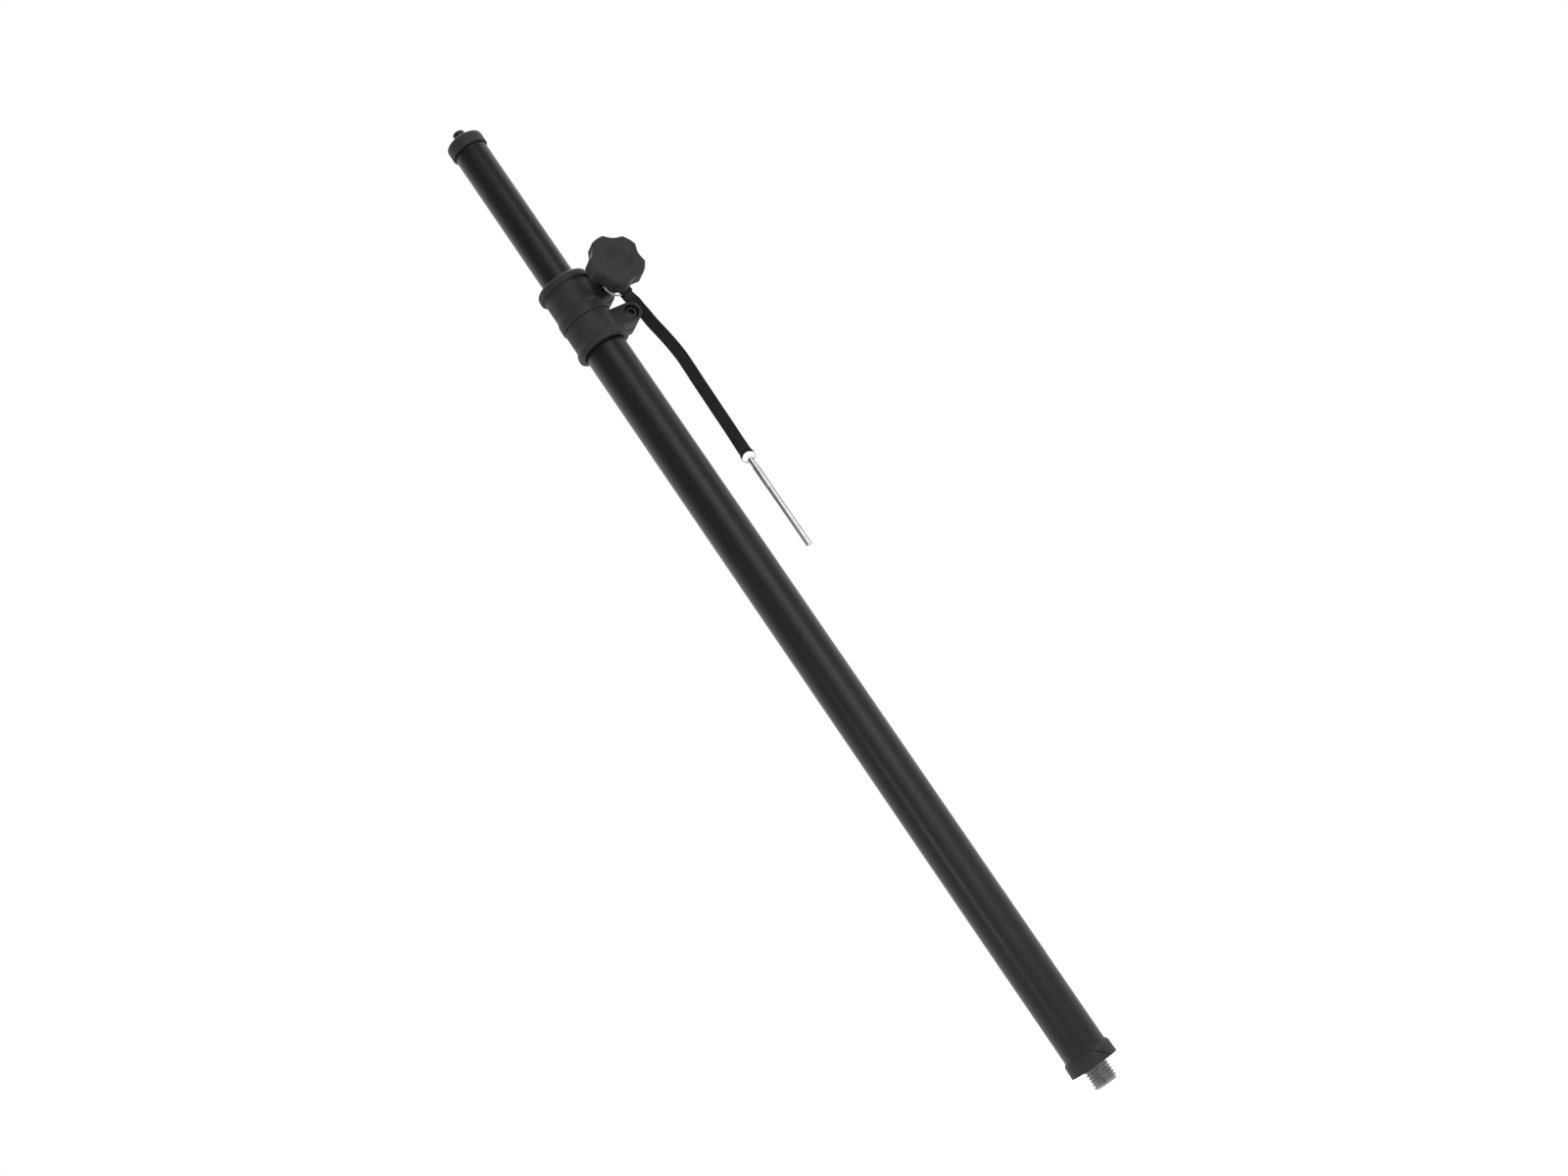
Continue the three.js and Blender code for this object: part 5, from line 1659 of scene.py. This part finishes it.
@dataclass
class ClampKnob(SubAssembly):
    """The five-lobed knob with its stud, its disc and the washer behind it."""

    face: float = 0.048
    thickness: float = 0.0145
    radius: float = 0.023
    lobes: float = 5.0
    scallop_depth: float = 0.00315
    scallop_share: float = 2 / 7
    turn: float = math.radians(23.4)
    edge_fillet: float = 0.0016
    back_fillet: float = 0.0012
    sides: int = 280
    dish_radius: float = 0.0136
    dish_depth: float = 0.0018
    dish_fillet: float = 0.0022
    neck_radius: float = 0.0042
    neck_end: float = 0.0152
    neck_end_fillet: float = 0.0003
    neck_root_fillet: float = 0.0008
    hub_width: float = 0.004
    root_radius: float = 0.003
    root_end: float = 0.0382
    disc_radius: float = 0.0092
    disc_gap: float = 0.00002
    disc_thickness: float = 0.0012
    disc_dome: float = 0.0014
    disc_rings: int = 24
    washer_fillet: float = 0.0003
    stud_chamfer: float = 0.0008
    stud_thread_depth: float = 0.0007
    stud_thread_pitch: float = 0.00125
    stud_thread_rows: int = 10
    stud_sides: int = 48

    def build(self) -> None:
        """Makes the washer, the stud, the knob and its disc."""
        self.build_washer()
        self.build_stud()
        self.build_handle()
        self.build_disc()

    def build_washer(self) -> None:
        """Makes the washer."""
        box = Box.of("knob_washer")
        bore = KNOB_STUD_RADIUS + self.seat_gap
        outline = ring_outline(bore, box.radius, -box.high.y, -box.low.y, self.washer_fillet)
        mesh = moved(turned("washer", outline, SMALL_SIDES), knob_axis())
        self.show("flat_washer", mesh, Finishes.BOLT_STEEL, Body.WASHER, ["knob_washer"])

    def build_stud(self) -> None:
        """Makes the knob's threaded stud."""
        end = -Box.of("knob_stud").high.y
        shoulder = self.neck_end - self.seat_gap
        outline = [
            Station(0.0, end),
            Station(KNOB_STUD_RADIUS - self.stud_chamfer, end, wear=0.5),
            *threaded(
                KNOB_STUD_RADIUS, end + self.stud_chamfer, shoulder,
                self.stud_thread_pitch, self.stud_thread_rows,
            ),
            Station(self.root_radius, shoulder),
            Station(self.root_radius, self.root_end),
            Station(0.0, self.root_end),
        ]
        values = {
            "Radius": KNOB_STUD_RADIUS, "Depth": self.stud_thread_depth, "Pitch": self.stud_thread_pitch,
        }
        rod = turned("knob_bolt", outline, self.stud_sides)
        mesh = moved(with_tree(rod, screw_thread(), values), knob_axis())
        self.show("knob_bolt", mesh, Finishes.BOLT_STEEL, Body.KNOB, ["knob_stud"])

    def build_handle(self) -> None:
        """Makes the lobed handle."""
        bore = self.root_radius + self.seat_gap
        back, floor = self.face - self.thickness, self.face - self.dish_depth
        pocket = self.disc_radius + self.disc_gap
        seat = floor - self.disc_thickness
        outline = filleted([
            Station(0.0, self.root_end + self.seat_gap),
            Station(bore, self.root_end + self.seat_gap),
            Station(bore, self.neck_end),
            Station(self.neck_radius, self.neck_end, self.neck_end_fillet),
            Station(self.neck_radius, back, self.neck_root_fillet),
            Station(self.neck_radius + self.hub_width, back),
            Station(self.radius, back, self.back_fillet, cut=1.0),
            Station(self.radius, self.face, self.edge_fillet, cut=1.0),
            Station(self.dish_radius, self.face, self.dish_fillet),
            Station(self.dish_radius - 2 * self.dish_depth, floor, self.dish_fillet),
            Station(pocket, floor),
            Station(pocket, seat),
            Station(0.0, seat),
        ], 2 * FILLET_STEPS)
        values = {
            "Lobes": self.lobes, "Depth": self.scallop_depth,
            "Turn": self.turn, "Scallop Share": self.scallop_share,
        }
        blank = turned("knob_handle", outline, self.sides)
        mesh = moved(with_tree(blank, lobed_outline(), values), knob_axis())
        self.show("knob_handle", mesh, Finishes.MOULDED, Body.KNOB, ["knob"])

    def build_disc(self) -> None:
        """Makes the low dome in the knob's face."""
        foot = self.face - self.dish_depth - self.disc_thickness + self.seat_gap
        rim = foot + self.disc_thickness - self.seat_gap
        shares = np.linspace(1.0, 0.0, self.disc_rings)
        crown = [
            Station(self.disc_radius * share, rim + self.disc_dome * (1 + math.cos(math.pi * share)) / 2)
            for share in shares
        ]
        outline = [Station(0.0, foot), Station(self.disc_radius, foot), *crown]
        mesh = moved(turned("knob_face_disc", outline, SMALL_SIDES), knob_axis())
        self.show("knob_face_disc", mesh, Finishes.MOULDED, Body.KNOB, ["knob_disc"])


@dataclass
class Tether(SubAssembly):
    """The webbing strap between its two split rings, its stitches, and the lock pin.

    Attributes:
        route: points of the strap's front layer, from the upper eye to the lower one.
    """

    route: tuple[tuple[float, float, float], ...] = (
        (0.0409, -0.0095, 0.6888), (0.0439, -0.0066, 0.6854), (0.0454, -0.0045, 0.6813),
        (0.0463, -0.0040, 0.6766), (0.0469, -0.0039, 0.6710), (0.04755, -0.0041, 0.6641),
        (0.04886, -0.0048, 0.6539), (0.05009, -0.0055, 0.6420), (0.05091, -0.0060, 0.6294),
        (0.05078, -0.0060, 0.6168), (0.05048, -0.0058, 0.6030), (0.05027, -0.0057, 0.5885),
        (0.0500, -0.0056, 0.5728), (0.0498, -0.0055, 0.5570),
    )
    across: Vector = field(default_factory=lambda: Vector((0.866, -0.5, 0.0)).normalized())
    upper_eye_turn: float = math.radians(-72)
    upper_eye_inset: float = 0.0004
    lower_eye: Vector = field(default_factory=lambda: Vector((0.0496, -0.0049, 0.5362)))
    width: float = 0.010
    thickness: float = 0.0012
    layer_gap: float = 0.0004
    tail: float = 0.009
    upper_eye_radius: float = 0.00235
    lower_eye_radius: float = 0.00215
    eye_neck: float = 0.0038
    twist_length: float = 0.03
    flare_share: float = 0.03
    flare_length: float = 0.011
    step: float = 0.0011
    stitch_length: float = 0.0014
    stitch_thread: float = 0.00016
    stitch_columns: int = 13
    stitch_pitch: float = 0.00068
    stitch_slant: float = 0.45
    upper_ring_centre: Vector = field(default_factory=lambda: Vector((0.03317, -0.01713, 0.7043)))
    upper_ring_axis: Vector = field(default_factory=lambda: Vector((0.049, -0.979, -0.197)).normalized())
    upper_ring: tuple[float, float, float, float] = (0.012, 0.00055, 0.00155, math.radians(100))
    lower_ring: tuple[float, float, float, float] = (0.00575, 0.00045, 0.00135, math.radians(25))
    ring_turns: float = 1.9
    pin_shoulder: float = 0.020
    pin_neck: float = 0.0083
    pin_radius: float = 0.003
    pin_neck_radius: float = 0.0027
    pin_chamfer: float = 0.0008
    pin_edges: tuple[float, float] = (0.0001, 0.0002)
    pin_eye_radius: float = 0.0015
    pin_eye_drop: float = 0.00305

    def build(self) -> None:
        line, stretch = self.strap_line()
        strap = self.build_strap(line)
        centre, axis = self.upper_ring_centre, self.upper_ring_axis
        upper = self.build_ring("upper_split_ring", centre, axis, self.upper_ring)
        centre = self.lower_eye - Vector((0.0, 0.0, self.lower_ring[0]))
        axis = Vector((0.0, 0.0, -1.0)).cross(self.across).normalized()
        lower = self.build_ring("lower_split_ring", centre, axis, self.lower_ring)
        stitches = self.build_stitches(line)
        pin = self.build_pin()
        run = [point for point, _ in line[stretch]]
        away = (run[0] - self.upper_eye).normalized() * self.upper_eye_radius
        path = [self.upper_eye - away, *run, self.lower_eye - Vector((0.0, 0.0, self.lower_eye_radius))]

    @property
    def upper_eye(self) -> Vector:
        """Returns the middle of the upper eye, just inside the ring's wire."""
        reach = self.upper_ring[0] - self.upper_eye_inset
        return self.upper_ring_centre + self.round_upper_ring(self.upper_eye_turn) * reach

    @property
    def upper_across(self) -> Vector:
        """Returns the direction across the strap in its upper eye, which is along the ring's wire."""
        return self.round_upper_ring(self.upper_eye_turn + math.pi / 2)

    def round_upper_ring(self, turn: float) -> Vector:
        """Returns the direction from the upper ring's centre to its wire at a turn."""
        side = Vector((0.0, 0.0, 1.0)).cross(self.upper_ring_axis).normalized()
        return side * math.cos(turn) + self.upper_ring_axis.cross(side) * math.sin(turn)

    def eye_loop(self, radius: float) -> list[tuple[float, float]]:
        """Works out the loop of webbing that one eye makes.

        Args:
            radius: the loop's radius.

        Returns:
            Its points, as distances from its ring's wire along the strap and to the strap's front.
        """
        half_gap = (self.thickness + self.layer_gap) / 2
        angles = np.radians(np.linspace(50, 310, 31))
        around = [(radius * math.cos(angle), radius * math.sin(angle)) for angle in angles]
        return [(self.eye_neck, half_gap), *around, (self.eye_neck, -half_gap)]

    def strap_line(self) -> tuple[list[tuple[Vector, Vector]], slice]:
        """Works out the strap's centre line in one length of webbing.

        Returns:
            Each point of the line with the direction across it, and which of them lie between the eyes.
        """
        away = Vector(self.route[0]) - self.upper_eye
        away = (away - self.upper_across * away.dot(self.upper_across)).normalized()
        upper_front = away.cross(self.upper_across)
        rise = Vector((0.0, 0.0, 1.0))
        lower_front = self.across.cross(rise)
        upper = [
            self.upper_eye + away * along + upper_front * forward
            for along, forward in reversed(self.eye_loop(self.upper_eye_radius))
        ]
        lower = [
            self.lower_eye + rise * along + lower_front * forward
            for along, forward in self.eye_loop(self.lower_eye_radius)
        ]
        curve = smooth_path([upper[-1], *(Vector(point) for point in self.route), lower[0]])
        length = path_length(curve)
        layers = self.thickness + self.layer_gap

        def station(distance: float, behind: float) -> tuple[Vector, Vector]:
            """Finds one point of the line between the eyes.

            Args:
                distance: how far along the route it is.
                behind: how far its layer lies behind the front one.

            Returns:
                The point, and the direction across it.
            """
            point, along = point_on(curve, distance)
            share = min(max(distance / self.twist_length, 0.0), 1.0)
            across = self.upper_across.lerp(self.across, share * share * (3 - 2 * share))
            across = (across - along * across.dot(along)).normalized()
            return point + across.cross(along) * behind, across

        def run(start: float, end: float, behind: float) -> list[tuple[Vector, Vector]]:
            """Returns the stations between two distances, on either layer."""
            count = max(3, round(abs(end - start) / self.step))
            return [station(start + (end - start) * step / count, behind) for step in range(count + 1)]

        first_tail = run(self.tail, 0.0, layers)[:-1]
        upper_loop = [(point, self.upper_across) for point in upper]
        main = run(0.0, length, 0.0)[1:-1]
        lower_loop = [(point, self.across) for point in lower]
        last_tail = run(length, length - self.tail, layers)[1:]
        start = len(first_tail) + len(upper_loop) - 1
        stretch = slice(start, start + len(main) + 2)
        return [*first_tail, *upper_loop, *main, *lower_loop, *last_tail], stretch

    def section(self) -> list[tuple[float, float]]:
        """Draws the webbing's section, a flat band with rounded edges.

        Returns:
            Its points anticlockwise, as shares of its half width and half thickness.
        """
        columns = np.linspace(-0.94, 0.94, 15)
        face = [(float(x), 1.0 - 0.12 * float(x) ** 4) for x in columns]
        edge = [(0.985, 0.55), (1.0, 0.0), (0.985, -0.55)]
        back = [(x, -y) for x, y in reversed(face)]
        return [*face, *edge, *back, *((-x, -y) for x, y in edge)]

    def build_strap(self, line: Sequence[tuple[Vector, Vector]]) -> Object:
        """Makes the strap along its line, with a UV map in metres.

        Args:
            line: each point with the direction across it.

        Returns:
            The strap.
        """
        section = self.section()
        rings, lengths = [], [0.0]
        for index, (point, across) in enumerate(line):
            before, after = line[max(index - 1, 0)][0], line[min(index + 1, len(line) - 1)][0]
            face = (after - before).normalized().cross(across).normalized()
            rings.append([self.strap_point(point, across, face, u, v) for u, v in section])
            if index:
                lengths.append(lengths[-1] + (point - line[index - 1][0]).length)
        mesh = lofted("webbing_strap", rings)
        uv = mesh.uv_layers.new(name="strap")
        count = len(section)
        for loop in mesh.loops:
            ring, column = divmod(loop.vertex_index, count)
            share, side = section[column]
            across = share * self.width / 2 if side > 0 else self.width * 2 - share * self.width / 2
            uv.data[loop.index].uv = (across, lengths[ring])
        return self.show("webbing_strap", mesh, Finishes.WEBBING, Body.TETHER, ["tether_strap"])

    def strap_point(self, point: Vector, across: Vector, face: Vector, u: float, v: float) -> Vector:
        """Places one point of the section. The strap's edges are drawn down round the lower ring's arc.

        Args:
            point: the centre line's point.
            across: the direction across it.
            face: the direction to the front.
            u: the share of the half width.
            v: the share of the half thickness.

        Returns:
            The point on the strap's surface.
        """
        height = min(max((point.z - self.lower_eye.z) / self.flare_length, 0.0), 1.0)
        near_end = 1 - height * height * (3 - 2 * height)
        offset = self.width / 2 * (1 + self.flare_share * near_end) * u
        radius = self.lower_ring[0]
        sagitta = radius - math.sqrt(radius**2 - min(abs(offset), radius) ** 2)
        place = point + across * offset + face * (self.thickness / 2 * v)
        return place - Vector((0.0, 0.0, near_end * sagitta))

    def build_ring(
        self, node: str, centre: Vector, axis: Vector, sizes: tuple[float, float, float, float]
    ) -> Object:
        """Makes a split ring.

        Args:
            node: the CAD node that it stands for.
            centre: its middle.
            axis: its axis.
            sizes: its radius, wire radius, pitch and starting angle.

        Returns:
            The ring.
        """
        radius, wire, pitch, start = sizes
        values = {"Radius": radius, "Wire": wire, "Pitch": pitch, "Turns": self.ring_turns, "Start": start}
        side = Vector((0.0, 0.0, 1.0)).cross(axis).normalized()
        frame = Matrix((side, axis.cross(side), axis)).transposed().to_4x4()
        mesh = edged(with_tree(bpy.data.meshes.new(node), split_ring(), values))
        moved(mesh, Matrix.Translation(centre) @ frame)
        return self.show(f"{node}_wire", mesh, Finishes.CHROME, Body.TETHER, [node])

    def build_stitches(self, line: Sequence[tuple[Vector, Vector]]) -> Object:
        """Makes the bar tacks that hold the strap's folded ends.

        Args:
            line: each point with the direction across it.

        Returns:
            The stitches, as one piece.
        """
        tails = max(3, round(self.tail / self.step))
        places, lays = [], []
        for end in (range(1, tails // 2 + 1), range(len(line) - tails // 2 - 1, len(line) - 1)):
            for index in end:
                point, across = line[index]
                along = (line[index + 1][0] - line[index - 1][0]).normalized()
                face = along.cross(across).normalized()
                for column in range(-(self.stitch_columns // 2), self.stitch_columns // 2 + 1):
                    slant = self.stitch_slant if (column + index) % 2 else -self.stitch_slant
                    offset = across * (column * self.stitch_pitch)
                    places.append(point + offset + face * (self.thickness / 2))
                    lays.append((along + across * slant).normalized())
        guide = bpy.data.meshes.new("strap_stitches")
        guide.from_pydata([tuple(place) for place in places], [], [])
        directions = guide.attributes.new("lay", "FLOAT_VECTOR", "POINT")
        directions.data.foreach_set("vector", np.array(lays).ravel())
        values = {"Length": self.stitch_length, "Thread": self.stitch_thread}
        mesh = with_tree(guide, stitch_rows(), values)
        mesh.shade_smooth()
        return self.show("strap_stitches", mesh, Finishes.THREAD, Body.TETHER, [])

    def build_pin(self) -> Object:
        """Makes the lock pin with its drilled neck.

        Returns:
            The pin.
        """
        box = Box.of("lock_pin")
        top, tip = box.high.z, box.low.z
        neck = top - self.pin_neck
        shoulder = neck - self.pin_shoulder
        outline = filleted([
            Station(0.0, tip),
            Station(self.pin_radius, tip, self.pin_chamfer),
            Station(self.pin_radius, shoulder),
            Station(box.radius, shoulder, self.pin_edges[0]),
            Station(box.radius, neck, self.pin_edges[1]),
            Station(self.pin_neck_radius, neck),
            Station(self.pin_neck_radius, top, self.pin_chamfer),
            Station(0.0, top),
        ])
        eye = solid_rod(self.pin_eye_radius, -box.size.x, box.size.x)
        level = Matrix.Rotation(math.pi / 2, 4, "Y")
        heading = Matrix.Rotation(math.atan2(self.across.y, self.across.x), 4, "Z")
        moved(eye, Matrix.Translation((0.0, 0.0, top - self.pin_eye_drop)) @ heading @ level)
        mesh = carved(turned("steel_pin", outline, SMALL_SIDES), [], [eye])
        moved(mesh, Matrix.Translation((box.centre.x, box.centre.y, 0.0)))
        return self.show("steel_pin", mesh, Finishes.CHROME, Body.PIN, ["lock_pin"])


def smooth_path(points: Sequence[Vector], steps: int = 24) -> list[Vector]:
    """Draws a centripetal Catmull-Rom curve through points.

    Args:
        points: the points that it passes through.
        steps: steps from each point to the next.

    Returns:
        Close points of the curve.
    """
    padded = [points[0] * 2 - points[1], *points, points[-1] * 2 - points[-2]]
    curve = []
    for p0, p1, p2, p3 in zip(padded, padded[1:], padded[2:], padded[3:]):
        t1 = (p1 - p0).length ** 0.5
        t2 = t1 + (p2 - p1).length ** 0.5
        t3 = t2 + (p3 - p2).length ** 0.5
        for step in range(steps):
            t = t1 + (t2 - t1) * step / steps
            a1 = p0.lerp(p1, t / t1)
            a2 = p1.lerp(p2, (t - t1) / (t2 - t1))
            a3 = p2.lerp(p3, (t - t2) / (t3 - t2))
            b1 = a1.lerp(a2, t / t2)
            b2 = a2.lerp(a3, (t - t1) / (t3 - t1))
            curve.append(b1.lerp(b2, (t - t1) / (t2 - t1)))
    return [*curve, points[-1].copy()]


def path_length(path: Sequence[Vector]) -> float:
    """Returns the length of a line of points."""
    return sum((second - first).length for first, second in zip(path, path[1:]))


def point_on(path: Sequence[Vector], distance: float) -> tuple[Vector, Vector]:
    """Finds a place on a line of points.

    Args:
        path: the line.
        distance: how far along it the place is.

    Returns:
        The point there, and the line's direction.
    """
    left = distance
    for first, second in zip(path, path[1:]):
        step = (second - first).length
        if left <= step:
            return first.lerp(second, left / step), (second - first).normalized()
        left -= step
    return path[-1].copy(), (path[-1] - path[-2]).normalized()


# Studio


@dataclass(frozen=True)
class SoftBox:
    """One area lamp that faces the pole's middle.

    Attributes:
        name: its name.
        angle: degrees round the pole, from the camera to its right.
        height: its middle's height.
        distance: its level distance from the pole.
        size: its width and height.
        power: its power in watts.
    """

    name: str
    angle: float
    height: float
    distance: float
    size: tuple[float, float]
    power: float


@dataclass
class Studio:
    """The floor, the white surroundings, the lamps and the camera.

    Attributes:
        camera_place: where the camera stands, with its yaw, pitch and roll below.
        azimuth: the camera's side of the pole, from the knob's side.
        focal_share: its focal length as a share of the picture's width.
        front_glow: how bright gloss sees the studio's front high up, and low_glow low down.
        front_rise: a ray's rise where the front is still low, and where it is high.
        front_turn: how far the front is turned from the camera's side.
        up_slant: the level and the upright share of the direction in which the soft light grows.
        fill_rise: where along it the light starts from ground_glow, and where it reaches fill_glow.
        floor_shade: how pale the floor is to the pole, and floor_seen to the camera, with floor_glow.
        floor_shine_height: the height on the pole from which the floor's shine is worked out.
        aim_height: the height that the lamps face.
    """

    camera_place: Vector = field(default_factory=lambda: Vector((-0.8088, -1.4009, 0.0934)))
    azimuth: float = math.radians(-30)
    yaw: float = math.radians(0.3489)
    pitch: float = math.radians(11.4907)
    roll: float = math.radians(-34.4233)
    focal_share: float = 2198.74 / 1600
    sensor: float = 36.0
    floor_size: float = 40.0
    front_glow: float = 0.12
    low_glow: float = 0.6
    front_rise: tuple[float, float] = (-0.15, 0.4)
    front_turn: float = math.radians(3)
    up_slant: tuple[float, float] = (0.564, 0.826)
    fill_rise: tuple[float, float] = (-0.8, 0.7)
    fill_glow: float = 0.95
    ground_glow: float = 0.10
    floor_shade: float = 0.3
    floor_seen: float = 0.6
    floor_glow: float = 0.75
    floor_shine_height: float = 0.15
    aim_height: float = 0.45
    lamps: tuple[SoftBox, ...] = (
        SoftBox("key_box", angle=34.0, height=0.75, distance=2.2, size=(0.8, 2.5), power=8.6),
        SoftBox("front_box", angle=14.0, height=0.75, distance=2.2, size=(0.8, 2.5), power=3.9),
        SoftBox("side_box", angle=56.0, height=0.75, distance=2.2, size=(0.8, 2.5), power=2.4),
        SoftBox("low_strip", angle=-36.0, height=-0.05, distance=2.0, size=(0.2, 0.7), power=3.8),
        SoftBox("top_box", angle=160.0, height=2.4, distance=0.9, size=(1.4, 1.4), power=22.0),
    )

    def build(self) -> None:
        """Makes everything round the pole."""
        self.build_camera()
        self.build_world()
        self.build_floor()
        for lamp in self.lamps:
            self.build_lamp(lamp)
        bpy.context.scene.view_settings.view_transform = "Standard"

    def build_camera(self) -> None:
        """Makes the camera at the photograph's angle."""
        heading = self.yaw - self.azimuth
        level = Vector((math.sin(heading), math.cos(heading), 0.0))
        ahead = level * math.cos(self.pitch) + Vector((0.0, 0.0, math.sin(self.pitch)))
        right = ahead.cross(Vector((0.0, 0.0, 1.0))).normalized()
        upward = right.cross(ahead)
        cos_roll, sin_roll = math.cos(self.roll), math.sin(self.roll)
        right, upward = right * cos_roll + upward * sin_roll, upward * cos_roll - right * sin_roll
        data = bpy.data.cameras.new("camera")
        data.sensor_width = self.sensor
        data.lens = self.sensor * self.focal_share
        data.clip_start, data.clip_end = 0.05, 2 * self.floor_size
        camera = bpy.data.objects.new("camera", data)
        turn = Matrix((right, upward, -ahead)).transposed().to_4x4()
        camera.matrix_world = Matrix.Translation(self.camera_place) @ turn
        bpy.context.scene.collection.objects.link(camera)
        bpy.context.scene.camera = camera

    def shine_level(self, nodes: Nodes, direction: NodeSocket) -> NodeSocket:
        """Adds how bright gloss sees the surroundings: white behind the pole, and dim high in front of it.

        Args:
            nodes: the tree's nodes.
            direction: the direction from the pole.

        Returns:
            The brightness.
        """
        bearing = self.azimuth + self.front_turn
        ahead = nodes.dot(direction, Vector((math.sin(bearing), -math.cos(bearing), 0.0)))
        rise = nodes.dot(direction, Vector((0.0, 0.0, 1.0)))
        front = nodes.spread(rise, *self.front_rise, self.low_glow, self.front_glow)
        return nodes.spread(ahead, 0.5, -0.5, front, 1.0)

    def build_world(self) -> None:
        """Makes surroundings that are white to the camera, and a white studio with a dim front to gloss."""
        world = bpy.data.worlds.new("studio")
        bpy.context.scene.world = world
        nodes = fresh_nodes(world)
        path = nodes.add("ShaderNodeLightPath").outputs
        direction = nodes.add("ShaderNodeTexCoord").outputs["Generated"]
        mirrored = nodes.math("MAXIMUM", path["Is Glossy Ray"], path["Is Transmission Ray"])
        level, upright = self.up_slant
        up = Vector((level * math.cos(self.azimuth), level * math.sin(self.azimuth), upright))
        fill = nodes.spread(nodes.dot(direction, up), *self.fill_rise, self.ground_glow, self.fill_glow)
        soft, shine, white = (
            nodes.add("ShaderNodeBackground", {"Color": (1.0, 1.0, 1.0, 1.0), "Strength": strength})
            for strength in (fill, self.shine_level(nodes, direction), 1.0)
        )
        lit = nodes.mix_shaders(mirrored, soft, shine)
        shown = nodes.mix_shaders(path["Is Camera Ray"], lit, white)
        nodes.add("ShaderNodeOutputWorld", {"Surface": shown.outputs[0]})

    def build_floor(self) -> None:
        """Makes the pale floor under the pole's foot, which keeps the pole's shadow."""
        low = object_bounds()[0].z
        half = self.floor_size / 2
        corners = ((-half, -half, low), (half, -half, low), (half, half, low), (-half, half, low))
        mesh = bpy.data.meshes.new("floor")
        mesh.from_pydata(corners, [], [(0, 1, 2, 3)])
        material = bpy.data.materials.new("pale_floor")
        nodes = fresh_nodes(material)
        path = nodes.add("ShaderNodeLightPath").outputs
        plain, shadowed = (
            nodes.add("ShaderNodeBsdfDiffuse", {"Color": (shade, shade, shade, 1.0)})
            for shade in (self.floor_shade, self.floor_seen)
        )
        spot = nodes.add("ShaderNodeTexCoord").outputs["Object"]
        raised = Vector((0.0, 0.0, low + self.floor_shine_height))
        below = nodes.add("ShaderNodeVectorMath", {0: spot, 1: raised}, operation="SUBTRACT").outputs[0]
        direction = nodes.add("ShaderNodeVectorMath", {0: below}, operation="NORMALIZE").outputs[0]
        shine = nodes.add("ShaderNodeEmission", {"Strength": self.shine_level(nodes, direction)})
        unseen = nodes.mix_shaders(path["Is Glossy Ray"], plain, shine)
        glow = nodes.add("ShaderNodeEmission", {"Color": (1.0, 1.0, 1.0, 1.0), "Strength": self.floor_glow})
        both = nodes.add("ShaderNodeAddShader", {0: shadowed.outputs[0], 1: glow.outputs[0]})
        shown = nodes.mix_shaders(path["Is Camera Ray"], unseen, both)
        nodes.add("ShaderNodeOutputMaterial", {"Surface": shown.outputs[0]})
        mesh.materials.append(material)
        temporary(mesh)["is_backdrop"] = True

    def build_lamp(self, box: SoftBox) -> None:
        """Makes one soft box.

        Args:
            box: its place, size and power.
        """
        data = bpy.data.lights.new(box.name, "AREA")
        data.shape = "RECTANGLE"
        data.size, data.size_y = box.size
        data.energy = box.power
        bearing = self.azimuth + math.radians(box.angle)
        lamp = bpy.data.objects.new(box.name, data)
        lamp.location = (box.distance * math.sin(bearing), -box.distance * math.cos(bearing), box.height)
        aim = Vector((0.0, 0.0, self.aim_height)) - lamp.location
        lamp.rotation_euler = aim.to_track_quat("-Z", "Y").to_euler()
        lamp.visible_camera = False
        bpy.context.scene.collection.objects.link(lamp)


def main() -> None:
    """Builds the studio and every sub-assembly round the frame."""
    logging.basicConfig(level=logging.INFO, format="%(name)s: %(message)s")
    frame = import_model()
    Studio().build()
    for assembly in (Tether, OuterPole, InnerPole, Collar, ClampKnob):
        assembly(frame).build()
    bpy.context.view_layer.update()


if __name__ == "__main__":
    main()
